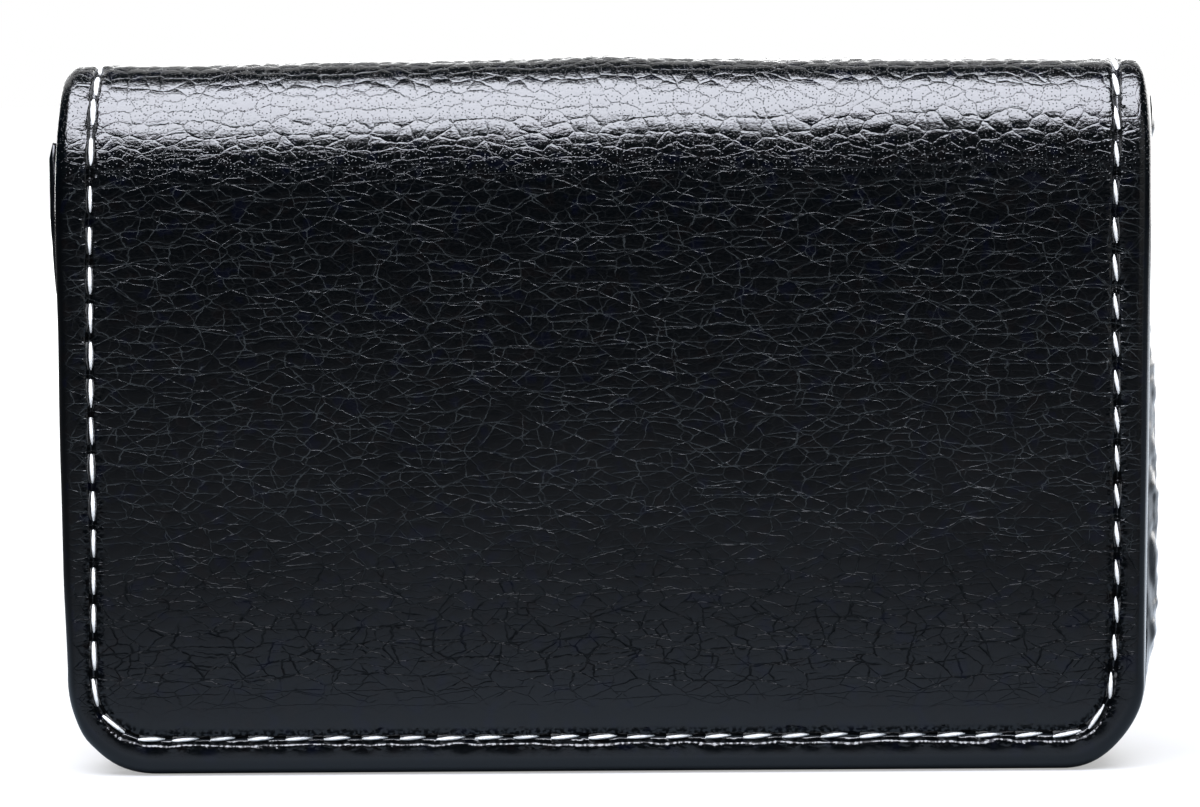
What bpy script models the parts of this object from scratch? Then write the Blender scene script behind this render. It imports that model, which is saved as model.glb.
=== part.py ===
# Flip-top business card holder in grained leatherette with contrast stitching.
# One cover sheet runs up the front flap, over a soft roll and down the back, round stiff boards.
# Behind the flap, a gusset joins the back to a pocket front, and the cards stand between the two.
# A magnet in the flap meets a steel keeper in the pocket front and holds the case shut.
# X runs across the width, Y from the front (-) to the back (+) and Z up. The case stands shut
# on its long lower edge, and the origin is on that surface, under the middle of the case.

import math

import bmesh
import bpy
from mathutils import Vector

# Cover, as it stands shut
COVER_WIDTH = 0.100
COVER_HEIGHT = 0.065
CASE_DEPTH = 0.015
ROLL_HEIGHT = 0.0095  # the part of the height that is soft roll, above the boards
CORNER_RADIUS = 0.0082
FLAP_LIFT = 0.0003  # the flap's edge stays this far off the surface that the case stands on

# Layers of the cover, from the outside in
SKIN = 0.0006
FOAM = 0.0011
BOARD = 0.0006
LINING = 0.0003
GLUE_LINE = 0.0001
BOARD_SETBACK = 0.0002  # from the hollow of the turned edge to the boards and the foam
LINING_INSET = 0.0012
HEM_INSET = 0.0063  # where the turned-in edge of the skin ends

# Seam round the cover
SEAM_INSET = 0.0030
SEAM_SPREAD = 0.0011  # half the width of the valley that the stitches pull
RIM_DROP = 0.00015  # the rim's crest lies this far under the panel's face
FOAM_PINCHED = 0.00015  # foam left under the stitches
THREAD_RADIUS = 0.00022
THREAD_SEAT = 0.00014  # clearance between the thread and the bottom of the valley
STITCH_PITCH = 0.0036
STITCH_RISE = 0.00022

# Folds, where the cover bends as it opens
FOLD_ANGLE = math.radians(50)  # round the roll, from where it springs off a panel
FOLD_GAP = 0.0003
THINNING_ANGLE = math.radians(22)  # the layers close up over this much of the roll

# Slip pocket on the inside of the flap
LEAF = 0.0004
LEAF_HEIGHT = 0.040
LEAF_SEWN = 0.0039  # the sewn-down margin, measured from the cover's edge
LEAF_RAMP = 0.0008
CARD_SLOT = 0.0006

# Card pocket behind the flap
POCKET_CLEARANCE = 0.0003
POCKET_SKIN = 0.0005
POCKET_BOARD = 0.0005
POCKET_LINING = 0.00025
POCKET_HEIGHT = 0.051
POCKET_SEAM_DEPTH = 0.00022
POCKET_EDGE = 0.00018  # rounding of the pocket front's outer edge
MOUTH_STEP = 0.0005  # each inner layer ends this much lower at the mouth
GUSSET_WALL = 0.0006
GUSSET_INSET = 0.0004
GUSSET_FLANGE = 0.0040
GUSSET_FOLD = 0.0010
GUSSET_BULGE = 0.0006
GUSSET_HEIGHT = 0.0552
FLANGE_GAP = 0.0003
THUMB_RADIUS = 0.011
THUMB_DEPTH = 0.007

# Closure
CLOSURE_HEIGHT = 0.014
MAGNET_RADIUS = 0.005
MAGNET_THICKNESS = 0.0008
KEEPER_RADIUS = 0.006
SEAT_CLEARANCE = 0.0003

# Smoothness
CORNER_STEPS = 5
FOLD_STEPS = 4
CROWN_STEPS = 6
VALLEY_STEPS = 6
EDGE_STEPS = 6
GUSSET_SIDE_STEPS = 5
GUSSET_WEB_STEPS = 4
SMALLEST_CORNER = 0.0002

# Depths below the cover's outer face
FOAM_TOP = SKIN + GLUE_LINE
FOAM_BOTTOM = FOAM_TOP + FOAM
BOARD_TOP = FOAM_BOTTOM + GLUE_LINE
BOARD_BOTTOM = BOARD_TOP + BOARD
HEM_TOP = BOARD_BOTTOM + GLUE_LINE
HEM_BOTTOM = HEM_TOP + SKIN
LINING_TOP = HEM_BOTTOM + GLUE_LINE
LINING_BOTTOM = LINING_TOP + LINING
LEAF_TOP = LINING_BOTTOM + GLUE_LINE
LEAF_BOTTOM = LEAF_TOP + LEAF

SEAM_DEPTH = FOAM - FOAM_PINCHED - RIM_DROP
TURN_RADIUS = (HEM_BOTTOM - RIM_DROP) / 2
BOARD_INSET = TURN_RADIUS + BOARD_SETBACK
PANEL_TOP = COVER_HEIGHT - ROLL_HEIGHT

# Places along Y in the pocket
POCKET_FACE = LEAF_BOTTOM + CARD_SLOT + POCKET_CLEARANCE - CASE_DEPTH / 2
POCKET_BOARD_FACE = POCKET_FACE + POCKET_SKIN + GLUE_LINE
POCKET_LINING_FACE = POCKET_BOARD_FACE + max(POCKET_BOARD, GUSSET_WALL) + GLUE_LINE
BACK_FLANGE_FACE = CASE_DEPTH / 2 - LINING_BOTTOM - GLUE_LINE
POCKET_HALF_WIDTH = COVER_WIDTH / 2 - GUSSET_INSET
POCKET_RADIUS = CORNER_RADIUS - GUSSET_INSET


def clear_scene():
    for old in list(bpy.data.objects):
        bpy.data.objects.remove(old)


def new_collection(name):
    made = bpy.data.collections.new(name)
    bpy.context.scene.collection.children.link(made)
    return made


def finish_of(name, colour, roughness, metallic=0.0):
    made = bpy.data.materials.new(name)
    made.use_nodes = True
    shader = made.node_tree.nodes["Principled BSDF"]
    shader.inputs["Base Color"].default_value = (*colour, 1)
    shader.inputs["Roughness"].default_value = roughness
    shader.inputs["Metallic"].default_value = metallic
    return made


def steps(start, end, count):
    return [start + (end - start) * i / count for i in range(count + 1)]


def object_from(bm, name, finish, collection):
    """Closes a bmesh into a named object, with its faces pointing out and its round faces smooth."""
    bmesh.ops.recalc_face_normals(bm, faces=bm.faces)
    mesh = bpy.data.meshes.new(name)
    bm.to_mesh(mesh)
    bm.free()
    mesh.shade_smooth()
    mesh.set_sharp_from_angle(angle=math.radians(35))
    mesh.materials.append(finish)
    made = bpy.data.objects.new(name, mesh)
    collection.objects.link(made)
    return made


# Outlines and routes on the cover

def thinned(depth, angle):
    """The roll has no board, so its layers close up: a depth under the skin shrinks by a board."""
    share = min(1.0, angle / THINNING_ANGLE) * (BOARD + GLUE_LINE) / (HEM_TOP - FOAM_TOP)
    within = min(max(depth - FOAM_TOP, 0.0), HEM_TOP - FOAM_TOP)
    return depth - within * share


def roll_point(side, angle, depth):
    """(y, z) on the roll, at an angle up from the panel on that side and a depth under the skin's face."""
    half_depth = CASE_DEPTH / 2
    out = Vector((math.cos(angle) / half_depth, math.sin(angle) / ROLL_HEIGHT)).normalized()
    out *= thinned(depth, min(angle, math.pi - angle))
    y = half_depth * math.cos(angle) - out.x
    return side * y, PANEL_TOP + ROLL_HEIGHT * math.sin(angle) - out.y


def fold_half_gap():
    """Half of the gap at a fold line, as an angle round the roll."""
    run = math.hypot(CASE_DEPTH / 2 * math.sin(FOLD_ANGLE), ROLL_HEIGHT * math.cos(FOLD_ANGLE))
    return FOLD_GAP / 2 / run


def foot_line(inset, half_width, bottom, radius):
    """(x, z) round the two lower corners of an outline, from the left side to the right."""
    corner = max(radius - inset, SMALLEST_CORNER)
    cx = half_width - inset - corner
    cz = bottom + inset + corner
    turn = [(corner * math.cos(a), corner * math.sin(a)) for a in steps(0, math.pi / 2, CORNER_STEPS)]
    left = [(-cx - dx, cz - dz) for dx, dz in turn]
    return left + [(-x, z) for x, z in reversed(left)]


def cover_ring(side, inset, depth):
    """A line at one inset and depth: down the left of the cover from the fold, round the foot and up."""
    bottom = FLAP_LIFT if side < 0 else 0.0
    x = COVER_WIDTH / 2 - inset
    y = side * (CASE_DEPTH / 2 - depth)
    roll = [roll_point(side, a, depth) for a in steps(FOLD_ANGLE - fold_half_gap(), 0, FOLD_STEPS)]
    foot = [Vector((fx, y, fz)) for fx, fz in foot_line(inset, COVER_WIDTH / 2, bottom, CORNER_RADIUS)]
    left = [Vector((-x, *place)) for place in roll]
    right = [Vector((x, *place)) for place in reversed(roll)]
    return left + foot + right


def flat_ring(side, inset, depth, top):
    """The same line on the flat of a panel only, up to a height."""
    bottom = FLAP_LIFT if side < 0 else 0.0
    x = COVER_WIDTH / 2 - inset
    y = side * (CASE_DEPTH / 2 - depth)
    foot = [Vector((fx, y, fz)) for fx, fz in foot_line(inset, COVER_WIDTH / 2, bottom, CORNER_RADIUS)]
    return [Vector((-x, y, top)), *foot, Vector((x, y, top))]


def pocket_ring(inset, y, top):
    """A line round the pocket front at one inset and one place along Y."""
    x = POCKET_HALF_WIDTH - inset
    foot = [Vector((fx, y, fz)) for fx, fz in foot_line(inset, POCKET_HALF_WIDTH, 0.0, POCKET_RADIUS)]
    return [Vector((-x, y, top)), *foot, Vector((x, y, top))]


# Half sections of the layers: (inset, depth) pairs from the panel out to the rim and back

def valley(inset):
    """Depth of the skin's face where the seam pulls it in, between the panel and the rim."""
    pull = SEAM_DEPTH * (1 + math.cos(math.pi * (inset - SEAM_INSET) / SEAM_SPREAD)) / 2
    slope = RIM_DROP * (SEAM_INSET + SEAM_SPREAD - inset) / (2 * SEAM_SPREAD)
    return pull + slope


def valley_insets():
    return steps(SEAM_INSET + SEAM_SPREAD, SEAM_INSET - SEAM_SPREAD, VALLEY_STEPS)


def turned_edge(width, top, bottom):
    """A half round from one depth to another, as the skin turns at the cover's edge."""
    middle, reach = (top + bottom) / 2, (bottom - top) / 2
    return [
        (TURN_RADIUS - width * math.cos(a), middle + reach * math.sin(a))
        for a in steps(-math.pi / 2, math.pi / 2, EDGE_STEPS)
    ]


def skin_section():
    outer = [(d, valley(d)) for d in valley_insets()]
    outer += turned_edge(TURN_RADIUS, RIM_DROP, HEM_BOTTOM) + [(HEM_INSET, HEM_BOTTOM)]
    inner = [(d, valley(d) + SKIN) for d in valley_insets()]
    inner += turned_edge(TURN_RADIUS - SKIN, RIM_DROP + SKIN, HEM_TOP) + [(HEM_INSET, HEM_TOP)]
    return outer + inner[::-1]


def foam_section():
    face = [(d, valley(d) + FOAM_TOP) for d in valley_insets()] + [(BOARD_INSET, RIM_DROP + FOAM_TOP)]
    return face + [(BOARD_INSET, FOAM_BOTTOM), (SEAM_INSET + SEAM_SPREAD, FOAM_BOTTOM)]


def plain_section(edge, top, bottom):
    """A flat layer, with its edge at one inset."""
    reach = HEM_INSET
    return [(reach, top), (edge, top), (edge, bottom), (reach, bottom)]


def leaf_section():
    raised = LEAF_SEWN + LEAF_RAMP
    lifted = [(raised, LEAF_TOP + CARD_SLOT), (LEAF_SEWN, LEAF_TOP), (LINING_INSET, LEAF_TOP)]
    return lifted + [(d, h + LEAF) for d, h in reversed(lifted)]


def pocket_skin_section():
    """(inset, y) of the pocket front's skin, with a shallow valley under its stitches."""
    spread = SEAM_SPREAD / 2
    face = [(SEAM_INSET + spread, 0.0), (SEAM_INSET, POCKET_SEAM_DEPTH), (SEAM_INSET - spread, 0.0)]
    edge = [(POCKET_EDGE, 0.0), (0.0, POCKET_EDGE), (0.0, POCKET_SKIN)]
    back = [(SEAM_INSET + spread, POCKET_SKIN)]
    return [(d, POCKET_FACE + h) for d, h in face + edge + back]


# Solids made from rings

def rimmed_panel(name, rings, finish, collection):
    """A panel from rings that run out to its rim and back. The first and last are spanned across."""
    bm = bmesh.new()
    lines = [[bm.verts.new(point) for point in ring] for ring in rings]
    for one, two in zip(lines, lines[1:]):
        for k in range(len(one) - 1):
            bm.faces.new((one[k], one[k + 1], two[k + 1], two[k]))
    for line in (lines[0], lines[-1]):
        sides = (len(line) - 2 * (CORNER_STEPS + 1)) // 2
        for k in range(sides - 1):
            bm.faces.new((line[k], line[k + 1], line[-2 - k], line[-1 - k]))
        bm.faces.new(line[sides - 1 : len(line) - sides + 1])
    bm.faces.new([line[0] for line in lines] + [line[-1] for line in reversed(lines)])
    return object_from(bm, name, finish, collection)


def cover_panel(name, side, section, finish, collection):
    return rimmed_panel(name, [cover_ring(side, d, h) for d, h in section], finish, collection)


def roll_crown(name, section, finish, collection):
    """The middle of the roll between the two folds: one section, rim to rim, carried round the roll."""
    start = FOLD_ANGLE + fold_half_gap()
    bm = bmesh.new()
    lofted = []
    for angle in steps(start, math.pi - start, CROWN_STEPS):
        left = [(-(COVER_WIDTH / 2 - d), *roll_point(1, angle, h)) for d, h in section]
        right = [(-x, y, z) for x, y, z in reversed(left)]
        lofted.append([bm.verts.new(point) for point in left + right])
    for one, two in zip(lofted, lofted[1:]):
        for k in range(len(one)):
            bm.faces.new((one[k - 1], one[k], two[k], two[k - 1]))
    bm.faces.new(lofted[0])
    bm.faces.new(lofted[-1])
    return object_from(bm, name, finish, collection)


def thread(name, bottom_line, face_line, finish, collection):
    """A needle thread along a seam. It lies on the face between its holes and dips into each one."""
    lengths = [(b - a).length for a, b in zip(bottom_line, bottom_line[1:])]
    total = sum(lengths)
    stitches = max(1, round(total / STITCH_PITCH))
    wave = [(0.0, 0.0), (0.2, 1.0), (0.8, 1.0)]
    stops = [((n + share) / stitches, rise) for n in range(stitches) for share, rise in wave]
    points = []
    for along, rise in stops + [(1.0, 0.0)]:
        rest = min(along, 1.0) * total
        k = 0
        while k < len(lengths) - 1 and rest > lengths[k]:
            rest -= lengths[k]
            k += 1
        share = rest / lengths[k]
        low = bottom_line[k].lerp(bottom_line[k + 1], share)
        high = face_line[k].lerp(face_line[k + 1], share)
        points.append(low.lerp(high, rise))
    curve = bpy.data.curves.new(name, "CURVE")
    curve.dimensions = "3D"
    curve.bevel_depth = THREAD_RADIUS
    curve.bevel_resolution = 1
    curve.use_fill_caps = True
    spline = curve.splines.new("POLY")
    spline.points.add(len(points) - 1)
    for place, point in zip(spline.points, points):
        place.co = (*point, 1)
    curve.materials.append(finish)
    made = bpy.data.objects.new(name, curve)
    collection.objects.link(made)
    return made


def disc(name, radius, thickness, centre, finish, collection):
    """A round plate with its axis along Y and its origin at its middle."""
    bm = bmesh.new()
    bmesh.ops.create_cone(
        bm, cap_ends=True, segments=32, radius1=radius, radius2=radius, depth=thickness
    )
    made = object_from(bm, name, finish, collection)
    made.location = centre
    made.rotation_euler = (math.pi / 2, 0, 0)
    return made


def cut(target, cutter):
    cutter.hide_render = True
    cutter.display_type = "WIRE"
    boolean = target.modifiers.new("cut", "BOOLEAN")
    boolean.operation = "DIFFERENCE"
    boolean.object = cutter


def thumb_notch(target, mouth, step, finish, cutters):
    """Takes the round thumb notch out of a sheet's mouth, wider by a step on the inner layers."""
    centre = (0, -CASE_DEPTH / 4, mouth + step + THUMB_RADIUS - THUMB_DEPTH)
    cutter = disc(target.name + "_notch", THUMB_RADIUS + step, CASE_DEPTH, centre, finish, cutters)
    cut(target, cutter)


# The sub-parts

def cover_layers(place, side, finishes, collection):
    """Skin, foam, board and lining of the flap or the back."""
    made = {
        "skin": cover_panel(place + "_skin", side, skin_section(), finishes["leather"], collection),
        "foam": cover_panel(place + "_foam", side, foam_section(), finishes["foam"], collection),
    }
    flat = [
        flat_ring(side, d, h, PANEL_TOP)
        for d, h in plain_section(BOARD_INSET, BOARD_TOP, BOARD_BOTTOM)
    ]
    made["board"] = rimmed_panel(place + "_board", flat, finishes["board"], collection)
    lining = plain_section(LINING_INSET, LINING_TOP, LINING_BOTTOM)
    made["lining"] = cover_panel(place + "_lining", side, lining, finishes["lining"], collection)
    return made


def thread_depths():
    low = valley(SEAM_INSET) - THREAD_SEAT - THREAD_RADIUS
    return low, low - STITCH_RISE


def cover_thread(name, side, finish, collection):
    low, high = thread_depths()
    lines = [cover_ring(side, SEAM_INSET, depth) for depth in (low, high)]
    return thread(name, *lines, finish, collection)


def roll_thread(name, x, finish, collection):
    low, high = thread_depths()
    start = FOLD_ANGLE + fold_half_gap()
    angles = steps(start, math.pi - start, CROWN_STEPS)
    lines = [[Vector((x, *roll_point(1, a, depth))) for a in angles] for depth in (low, high)]
    return thread(name, *lines, finish, collection)


def slip_pocket(finishes, collection, cutters):
    rings = [flat_ring(-1, d, h, LEAF_HEIGHT) for d, h in leaf_section()]
    leaf = rimmed_panel("slip_pocket", rings, finishes["leather"], collection)
    thumb_notch(leaf, LEAF_HEIGHT, 0.0, finishes["leather"], cutters)
    return leaf


def pocket_front(finishes, collection, cutters):
    """Skin, board and lining of the card pocket, with the keeper seated in the board."""
    skin_rings = [pocket_ring(d, y, POCKET_HEIGHT) for d, y in pocket_skin_section()]
    skin = rimmed_panel("pocket_skin", skin_rings, finishes["leather"], collection)
    inset = GUSSET_FLANGE + FLANGE_GAP
    faces = (POCKET_BOARD_FACE, POCKET_BOARD_FACE + POCKET_BOARD)
    board_rings = [pocket_ring(inset, y, POCKET_HEIGHT - 2 * MOUTH_STEP) for y in faces]
    board = rimmed_panel("pocket_board", board_rings, finishes["board"], collection)
    inset = GUSSET_WALL + FLANGE_GAP
    faces = (POCKET_LINING_FACE, POCKET_LINING_FACE + POCKET_LINING)
    lining_rings = [pocket_ring(inset, y, POCKET_HEIGHT - MOUTH_STEP) for y in faces]
    lining = rimmed_panel("pocket_lining", lining_rings, finishes["lining"], collection)
    for layer, step in ((skin, 0.0), (lining, MOUTH_STEP), (board, 2 * MOUTH_STEP)):
        thumb_notch(layer, POCKET_HEIGHT - step, step, finishes["leather"], cutters)
    centre = (0, POCKET_BOARD_FACE + POCKET_BOARD / 2, CLOSURE_HEIGHT)
    disc("keeper", KEEPER_RADIUS, POCKET_BOARD, centre, finishes["steel"], collection)
    seat = disc(
        "keeper_seat", KEEPER_RADIUS + SEAT_CLEARANCE, CASE_DEPTH / 4, centre, finishes["board"], cutters
    )
    cut(board, seat)


def pocket_thread(finish, collection):
    low = POCKET_FACE + POCKET_SEAM_DEPTH - THREAD_SEAT - THREAD_RADIUS
    top = POCKET_HEIGHT - MOUTH_STEP
    lines = [pocket_ring(SEAM_INSET, y, top) for y in (low, low - STITCH_RISE)]
    return thread("pocket_thread", *lines, finish, collection)


def gusset_section():
    """(inset, y) of the gusset's outer face: back flange, folded edge, web, folded edge, front flange."""
    back, front = BACK_FLANGE_FACE, POCKET_BOARD_FACE
    bend = steps(0, math.pi / 2, 3)
    into_web = [(GUSSET_FOLD * (1 - math.sin(a)), back - GUSSET_FOLD * (1 - math.cos(a))) for a in bend]
    out_of_web = [(GUSSET_FOLD * (1 - math.cos(a)), front + GUSSET_FOLD * (1 - math.sin(a))) for a in bend]
    web = [(0.0, y) for y in steps(back - GUSSET_FOLD, front + GUSSET_FOLD, GUSSET_WEB_STEPS)]
    ends = [(GUSSET_FLANGE, back)], [(GUSSET_FLANGE, front)]
    return ends[0] + into_web + web[1:-1] + out_of_web + ends[1]


def gusset_top(y):
    """The gusset's upper edge slopes from the back down to the pocket's mouth."""
    share = (BACK_FLANGE_FACE - y) / (BACK_FLANGE_FACE - POCKET_BOARD_FACE)
    return GUSSET_HEIGHT + (POCKET_HEIGHT - GUSSET_HEIGHT) * share


def gusset_ring(inset, y):
    """A line round the gusset at one inset and one place along Y. Its side walls bulge outwards."""
    corner = POCKET_RADIUS
    across = (y - POCKET_BOARD_FACE) / (BACK_FLANGE_FACE - POCKET_BOARD_FACE)
    swell = GUSSET_BULGE * math.sin(math.pi * across) * max(0.0, 1 - inset / GUSSET_FOLD)
    side = []
    for z in steps(gusset_top(y), corner, GUSSET_SIDE_STEPS)[:-1]:
        up = (z - corner) / (gusset_top(y) - corner)
        side.append((POCKET_HALF_WIDTH - inset + swell * math.sin(math.pi * min(up, 0.75)), z))
    foot = [Vector((x, y, z)) for x, z in foot_line(inset, POCKET_HALF_WIDTH, 0.0, POCKET_RADIUS)]
    left = [Vector((-x, y, z)) for x, z in side]
    right = [Vector((x, y, z)) for x, z in reversed(side)]
    return left + foot + right


def gusset(finish, collection):
    bm = bmesh.new()
    lines = [[bm.verts.new(p) for p in gusset_ring(d, y)] for d, y in gusset_section()]
    for one, two in zip(lines, lines[1:]):
        for k in range(len(one) - 1):
            bm.faces.new((one[k], two[k], two[k + 1], one[k + 1]))
    made = object_from(bm, "gusset", finish, collection)
    wall = made.modifiers.new("wall", "SOLIDIFY")
    wall.thickness = GUSSET_WALL
    wall.offset = -1
    wall.use_even_offset = True
    return made


def pivot(name, side, collection):
    """An empty on a fold line, which lies on the cover's outer face."""
    made = bpy.data.objects.new(name, None)
    made.empty_display_size = COVER_WIDTH / 10
    made.location = (0, *roll_point(side, FOLD_ANGLE, 0))
    collection.objects.link(made)
    return made


def hang(children, parent):
    """Parents objects without moving them."""
    bpy.context.view_layer.update()
    for child in children:
        child.parent = parent
        child.matrix_parent_inverse = parent.matrix_world.inverted()


def build():
    clear_scene()
    case = new_collection("card_holder")
    cutters = new_collection("cutters")
    finishes = {
        "leather": finish_of("black_leatherette", (0.012, 0.013, 0.017), 0.38),
        "foam": finish_of("grey_foam", (0.30, 0.30, 0.31), 0.95),
        "board": finish_of("grey_board", (0.42, 0.39, 0.34), 0.85),
        "lining": finish_of("black_lining", (0.018, 0.018, 0.020), 0.80),
        "thread": finish_of("white_thread", (0.86, 0.86, 0.84), 0.55),
        "magnet": finish_of("magnet_nickel", (0.62, 0.61, 0.58), 0.25, 1.0),
        "steel": finish_of("keeper_steel", (0.55, 0.55, 0.56), 0.35, 1.0),
    }

    cover_layers("back", 1, finishes, case)
    cover_thread("back_thread", 1, finishes["thread"], case)
    gusset(finishes["leather"], case)
    pocket_front(finishes, case, cutters)
    pocket_thread(finishes["thread"], case)

    seam_x = COVER_WIDTH / 2 - SEAM_INSET
    crown_lining = plain_section(LINING_INSET, LINING_TOP, LINING_BOTTOM)
    spine = [
        roll_crown("spine_skin", skin_section(), finishes["leather"], case),
        roll_crown("spine_foam", foam_section(), finishes["foam"], case),
        roll_crown("spine_lining", crown_lining, finishes["lining"], case),
        roll_thread("spine_thread_left", -seam_x, finishes["thread"], case),
        roll_thread("spine_thread_right", seam_x, finishes["thread"], case),
    ]

    layers = cover_layers("flap", -1, finishes, case)
    magnet_y = BOARD_TOP + MAGNET_THICKNESS / 2 - CASE_DEPTH / 2
    centre = (0, magnet_y, CLOSURE_HEIGHT)
    magnet = disc("magnet", MAGNET_RADIUS, MAGNET_THICKNESS, centre, finishes["magnet"], case)
    seat_radius = MAGNET_RADIUS + SEAT_CLEARANCE
    seat = disc("magnet_seat", seat_radius, CASE_DEPTH / 4, centre, finishes["board"], cutters)
    cut(layers["board"], seat)
    leaf = slip_pocket(finishes, case, cutters)
    flap_thread = cover_thread("flap_thread", -1, finishes["thread"], case)

    spine_pivot = pivot("spine_fold", 1, case)
    flap_pivot = pivot("flap_fold", -1, case)
    hang([*spine, flap_pivot], spine_pivot)
    hang([*layers.values(), magnet, leaf, flap_thread], flap_pivot)


build()
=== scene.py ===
# A slim card holder in grained leatherette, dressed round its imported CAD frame.
# Lengths are in millimetres until a mesh is made.
import math

import bmesh
import bpy
import numpy as np
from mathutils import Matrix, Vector


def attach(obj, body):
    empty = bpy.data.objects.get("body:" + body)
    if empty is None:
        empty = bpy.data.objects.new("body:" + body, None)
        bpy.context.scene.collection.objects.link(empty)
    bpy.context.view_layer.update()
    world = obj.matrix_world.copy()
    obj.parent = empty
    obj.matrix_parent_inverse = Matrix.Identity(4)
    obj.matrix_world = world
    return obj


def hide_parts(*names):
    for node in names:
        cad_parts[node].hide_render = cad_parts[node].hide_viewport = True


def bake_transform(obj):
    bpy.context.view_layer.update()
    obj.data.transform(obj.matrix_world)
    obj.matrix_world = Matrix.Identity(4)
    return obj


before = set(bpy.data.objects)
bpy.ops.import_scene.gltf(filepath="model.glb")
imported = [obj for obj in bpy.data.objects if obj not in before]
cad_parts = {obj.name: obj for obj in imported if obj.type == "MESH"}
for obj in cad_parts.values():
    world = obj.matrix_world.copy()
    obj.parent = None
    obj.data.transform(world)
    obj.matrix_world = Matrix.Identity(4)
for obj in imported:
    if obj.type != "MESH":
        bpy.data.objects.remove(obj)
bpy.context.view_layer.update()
mm = 0.001
scene = bpy.context.scene
print("frame loaded")


# small helpers for shapes, node trees and meshes

def smooth(share):
    return share * share * (3 - 2 * share)


def easeBetween(value, low, high):
    return smooth(np.clip((value - low) / (high - low), 0, 1))


def latticeNoise(u, v, seed):
    # smooth random values from -1 to 1 over a unit lattice
    cellU, cellV = np.floor(u).astype(np.int64), np.floor(v).astype(np.int64)
    shareU, shareV = smooth(u - cellU), smooth(v - cellV)

    def corner(a, b):
        mixed = (a * 374761393 + b * 668265263 + seed * 974634777) & 0xFFFFFFFF
        mixed = ((mixed ^ (mixed >> 13)) * 1274126177) & 0xFFFFFFFF
        return ((mixed ^ (mixed >> 16)) & 0xFFFF) / 32767.5 - 1

    low = corner(cellU, cellV) * (1 - shareU) + corner(cellU + 1, cellV) * shareU
    high = corner(cellU, cellV + 1) * (1 - shareU) + corner(cellU + 1, cellV + 1) * shareU
    return low * (1 - shareV) + high * shareV


class Signal:
    # what comes out of a node, reckoned with like a number or a place
    def __init__(self, desk, socket):
        self.desk, self.socket = desk, socket

    def __add__(self, other):
        return self.desk.maths("ADD", self, other)

    def __sub__(self, other):
        return self.desk.maths("SUBTRACT", self, other)

    def __rsub__(self, other):
        return self.desk.maths("SUBTRACT", other, self)

    def __mul__(self, other):
        return self.desk.maths("MULTIPLY", self, other)

    def __matmul__(self, direction):
        return self.desk.maths("DOT_PRODUCT", self, direction)

    def __abs__(self):
        return self.desk.maths("ABSOLUTE", self)


class NodeDesk:
    # short ways to add and join nodes in any tree
    def __init__(self, tree):
        self.tree = tree

    def give(self, node, inputs):
        # the inputs come in their order, or with their labels
        for label, value in inputs.items() if isinstance(inputs, dict) else enumerate(inputs):
            if isinstance(value, Signal):
                self.tree.links.new(value.socket, node.inputs[label])
            else:
                node.inputs[label].default_value = value
        return node

    def add(self, kind, inputs=(), **settings):
        node = self.tree.nodes.new(kind)
        for key, value in settings.items():
            setattr(node, key, value)
        return self.give(node, inputs)

    def take(self, output, kind, inputs=(), **settings):
        return Signal(self, self.add(kind, inputs, **settings).outputs[output])

    def maths(self, operation, *values):
        # one tuple or vector among the values makes it vector maths
        types = [value.socket.type if isinstance(value, Signal) else type(value) for value in values]
        wide = not {"VECTOR", "RGBA", tuple}.isdisjoint(types)
        kind = "ShaderNodeVectorMath" if wide else "ShaderNodeMath"
        return self.take(int(operation in ("DOT_PRODUCT", "LENGTH")), kind, values, operation=operation)

    def joined(self, x, y, z=0.0):
        return self.take(0, "ShaderNodeCombineXYZ", (x, y, z))

    def ease(self, value, low, high, start=0.0, stop=1.0):
        limits = {"Value": value, "From Min": low, "From Max": high, "To Min": start, "To Max": stop}
        return self.take("Result", "ShaderNodeMapRange", limits, interpolation_type="SMOOTHSTEP")

    def noise(self, place, scale, detail=2.0, roughness=0.5, output="Fac"):
        inputs = {"Vector": place, "Scale": scale, "Detail": detail, "Roughness": roughness}
        return self.take(output, "ShaderNodeTexNoise", inputs, noise_dimensions="3D")

    def cells(self, place, feature, randomness=1.0, outputs=("Distance",)):
        inputs = {"Vector": place, "Scale": 1.0, "Randomness": randomness}
        node = self.add("ShaderNodeTexVoronoi", inputs, voronoi_dimensions="2D", feature=feature)
        return [Signal(self, node.outputs[label]) for label in outputs]

    def ramp(self, factor, *stops):
        node = self.add("ShaderNodeValToRGB", (factor,))
        points = node.color_ramp.elements
        for number, (position, color) in enumerate(stops):
            point = points[number] if number < 2 else points.new(position)
            point.position, point.color = position, (*color, 1)
        return Signal(self, node.outputs["Color"])

    def bump(self, height, strength, distance):
        inputs = {"Strength": strength, "Distance": distance, "Height": height}
        return self.take("Normal", "ShaderNodeBump", inputs)


def geometryTree(name, inputs):
    # a geometry tree with named inputs: its desk, what it is given and its last node
    tree = bpy.data.node_groups.new(name, "GeometryNodeTree")
    for label, kind in {"Geometry": "Geometry", **inputs}.items():
        tree.interface.new_socket(label, in_out="INPUT", socket_type="NodeSocket" + kind)
    tree.interface.new_socket("Geometry", in_out="OUTPUT", socket_type="NodeSocketGeometry")
    desk = NodeDesk(tree)
    given = {socket.name: Signal(desk, socket) for socket in desk.add("NodeGroupInput").outputs}
    return desk, given, desk.add("NodeGroupOutput")


def evaluatedObject(made):
    return made.evaluated_get(bpy.context.evaluated_depsgraph_get())


def band(first, second, closed=False):
    # quads between two rows of point numbers
    quads = np.stack([first, np.roll(first, -1), np.roll(second, -1), second], -1)
    return (quads if closed else quads[:-1]).tolist()


def turned(quads):
    return [[a, d, c, b] for a, b, c, d in quads]


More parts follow.
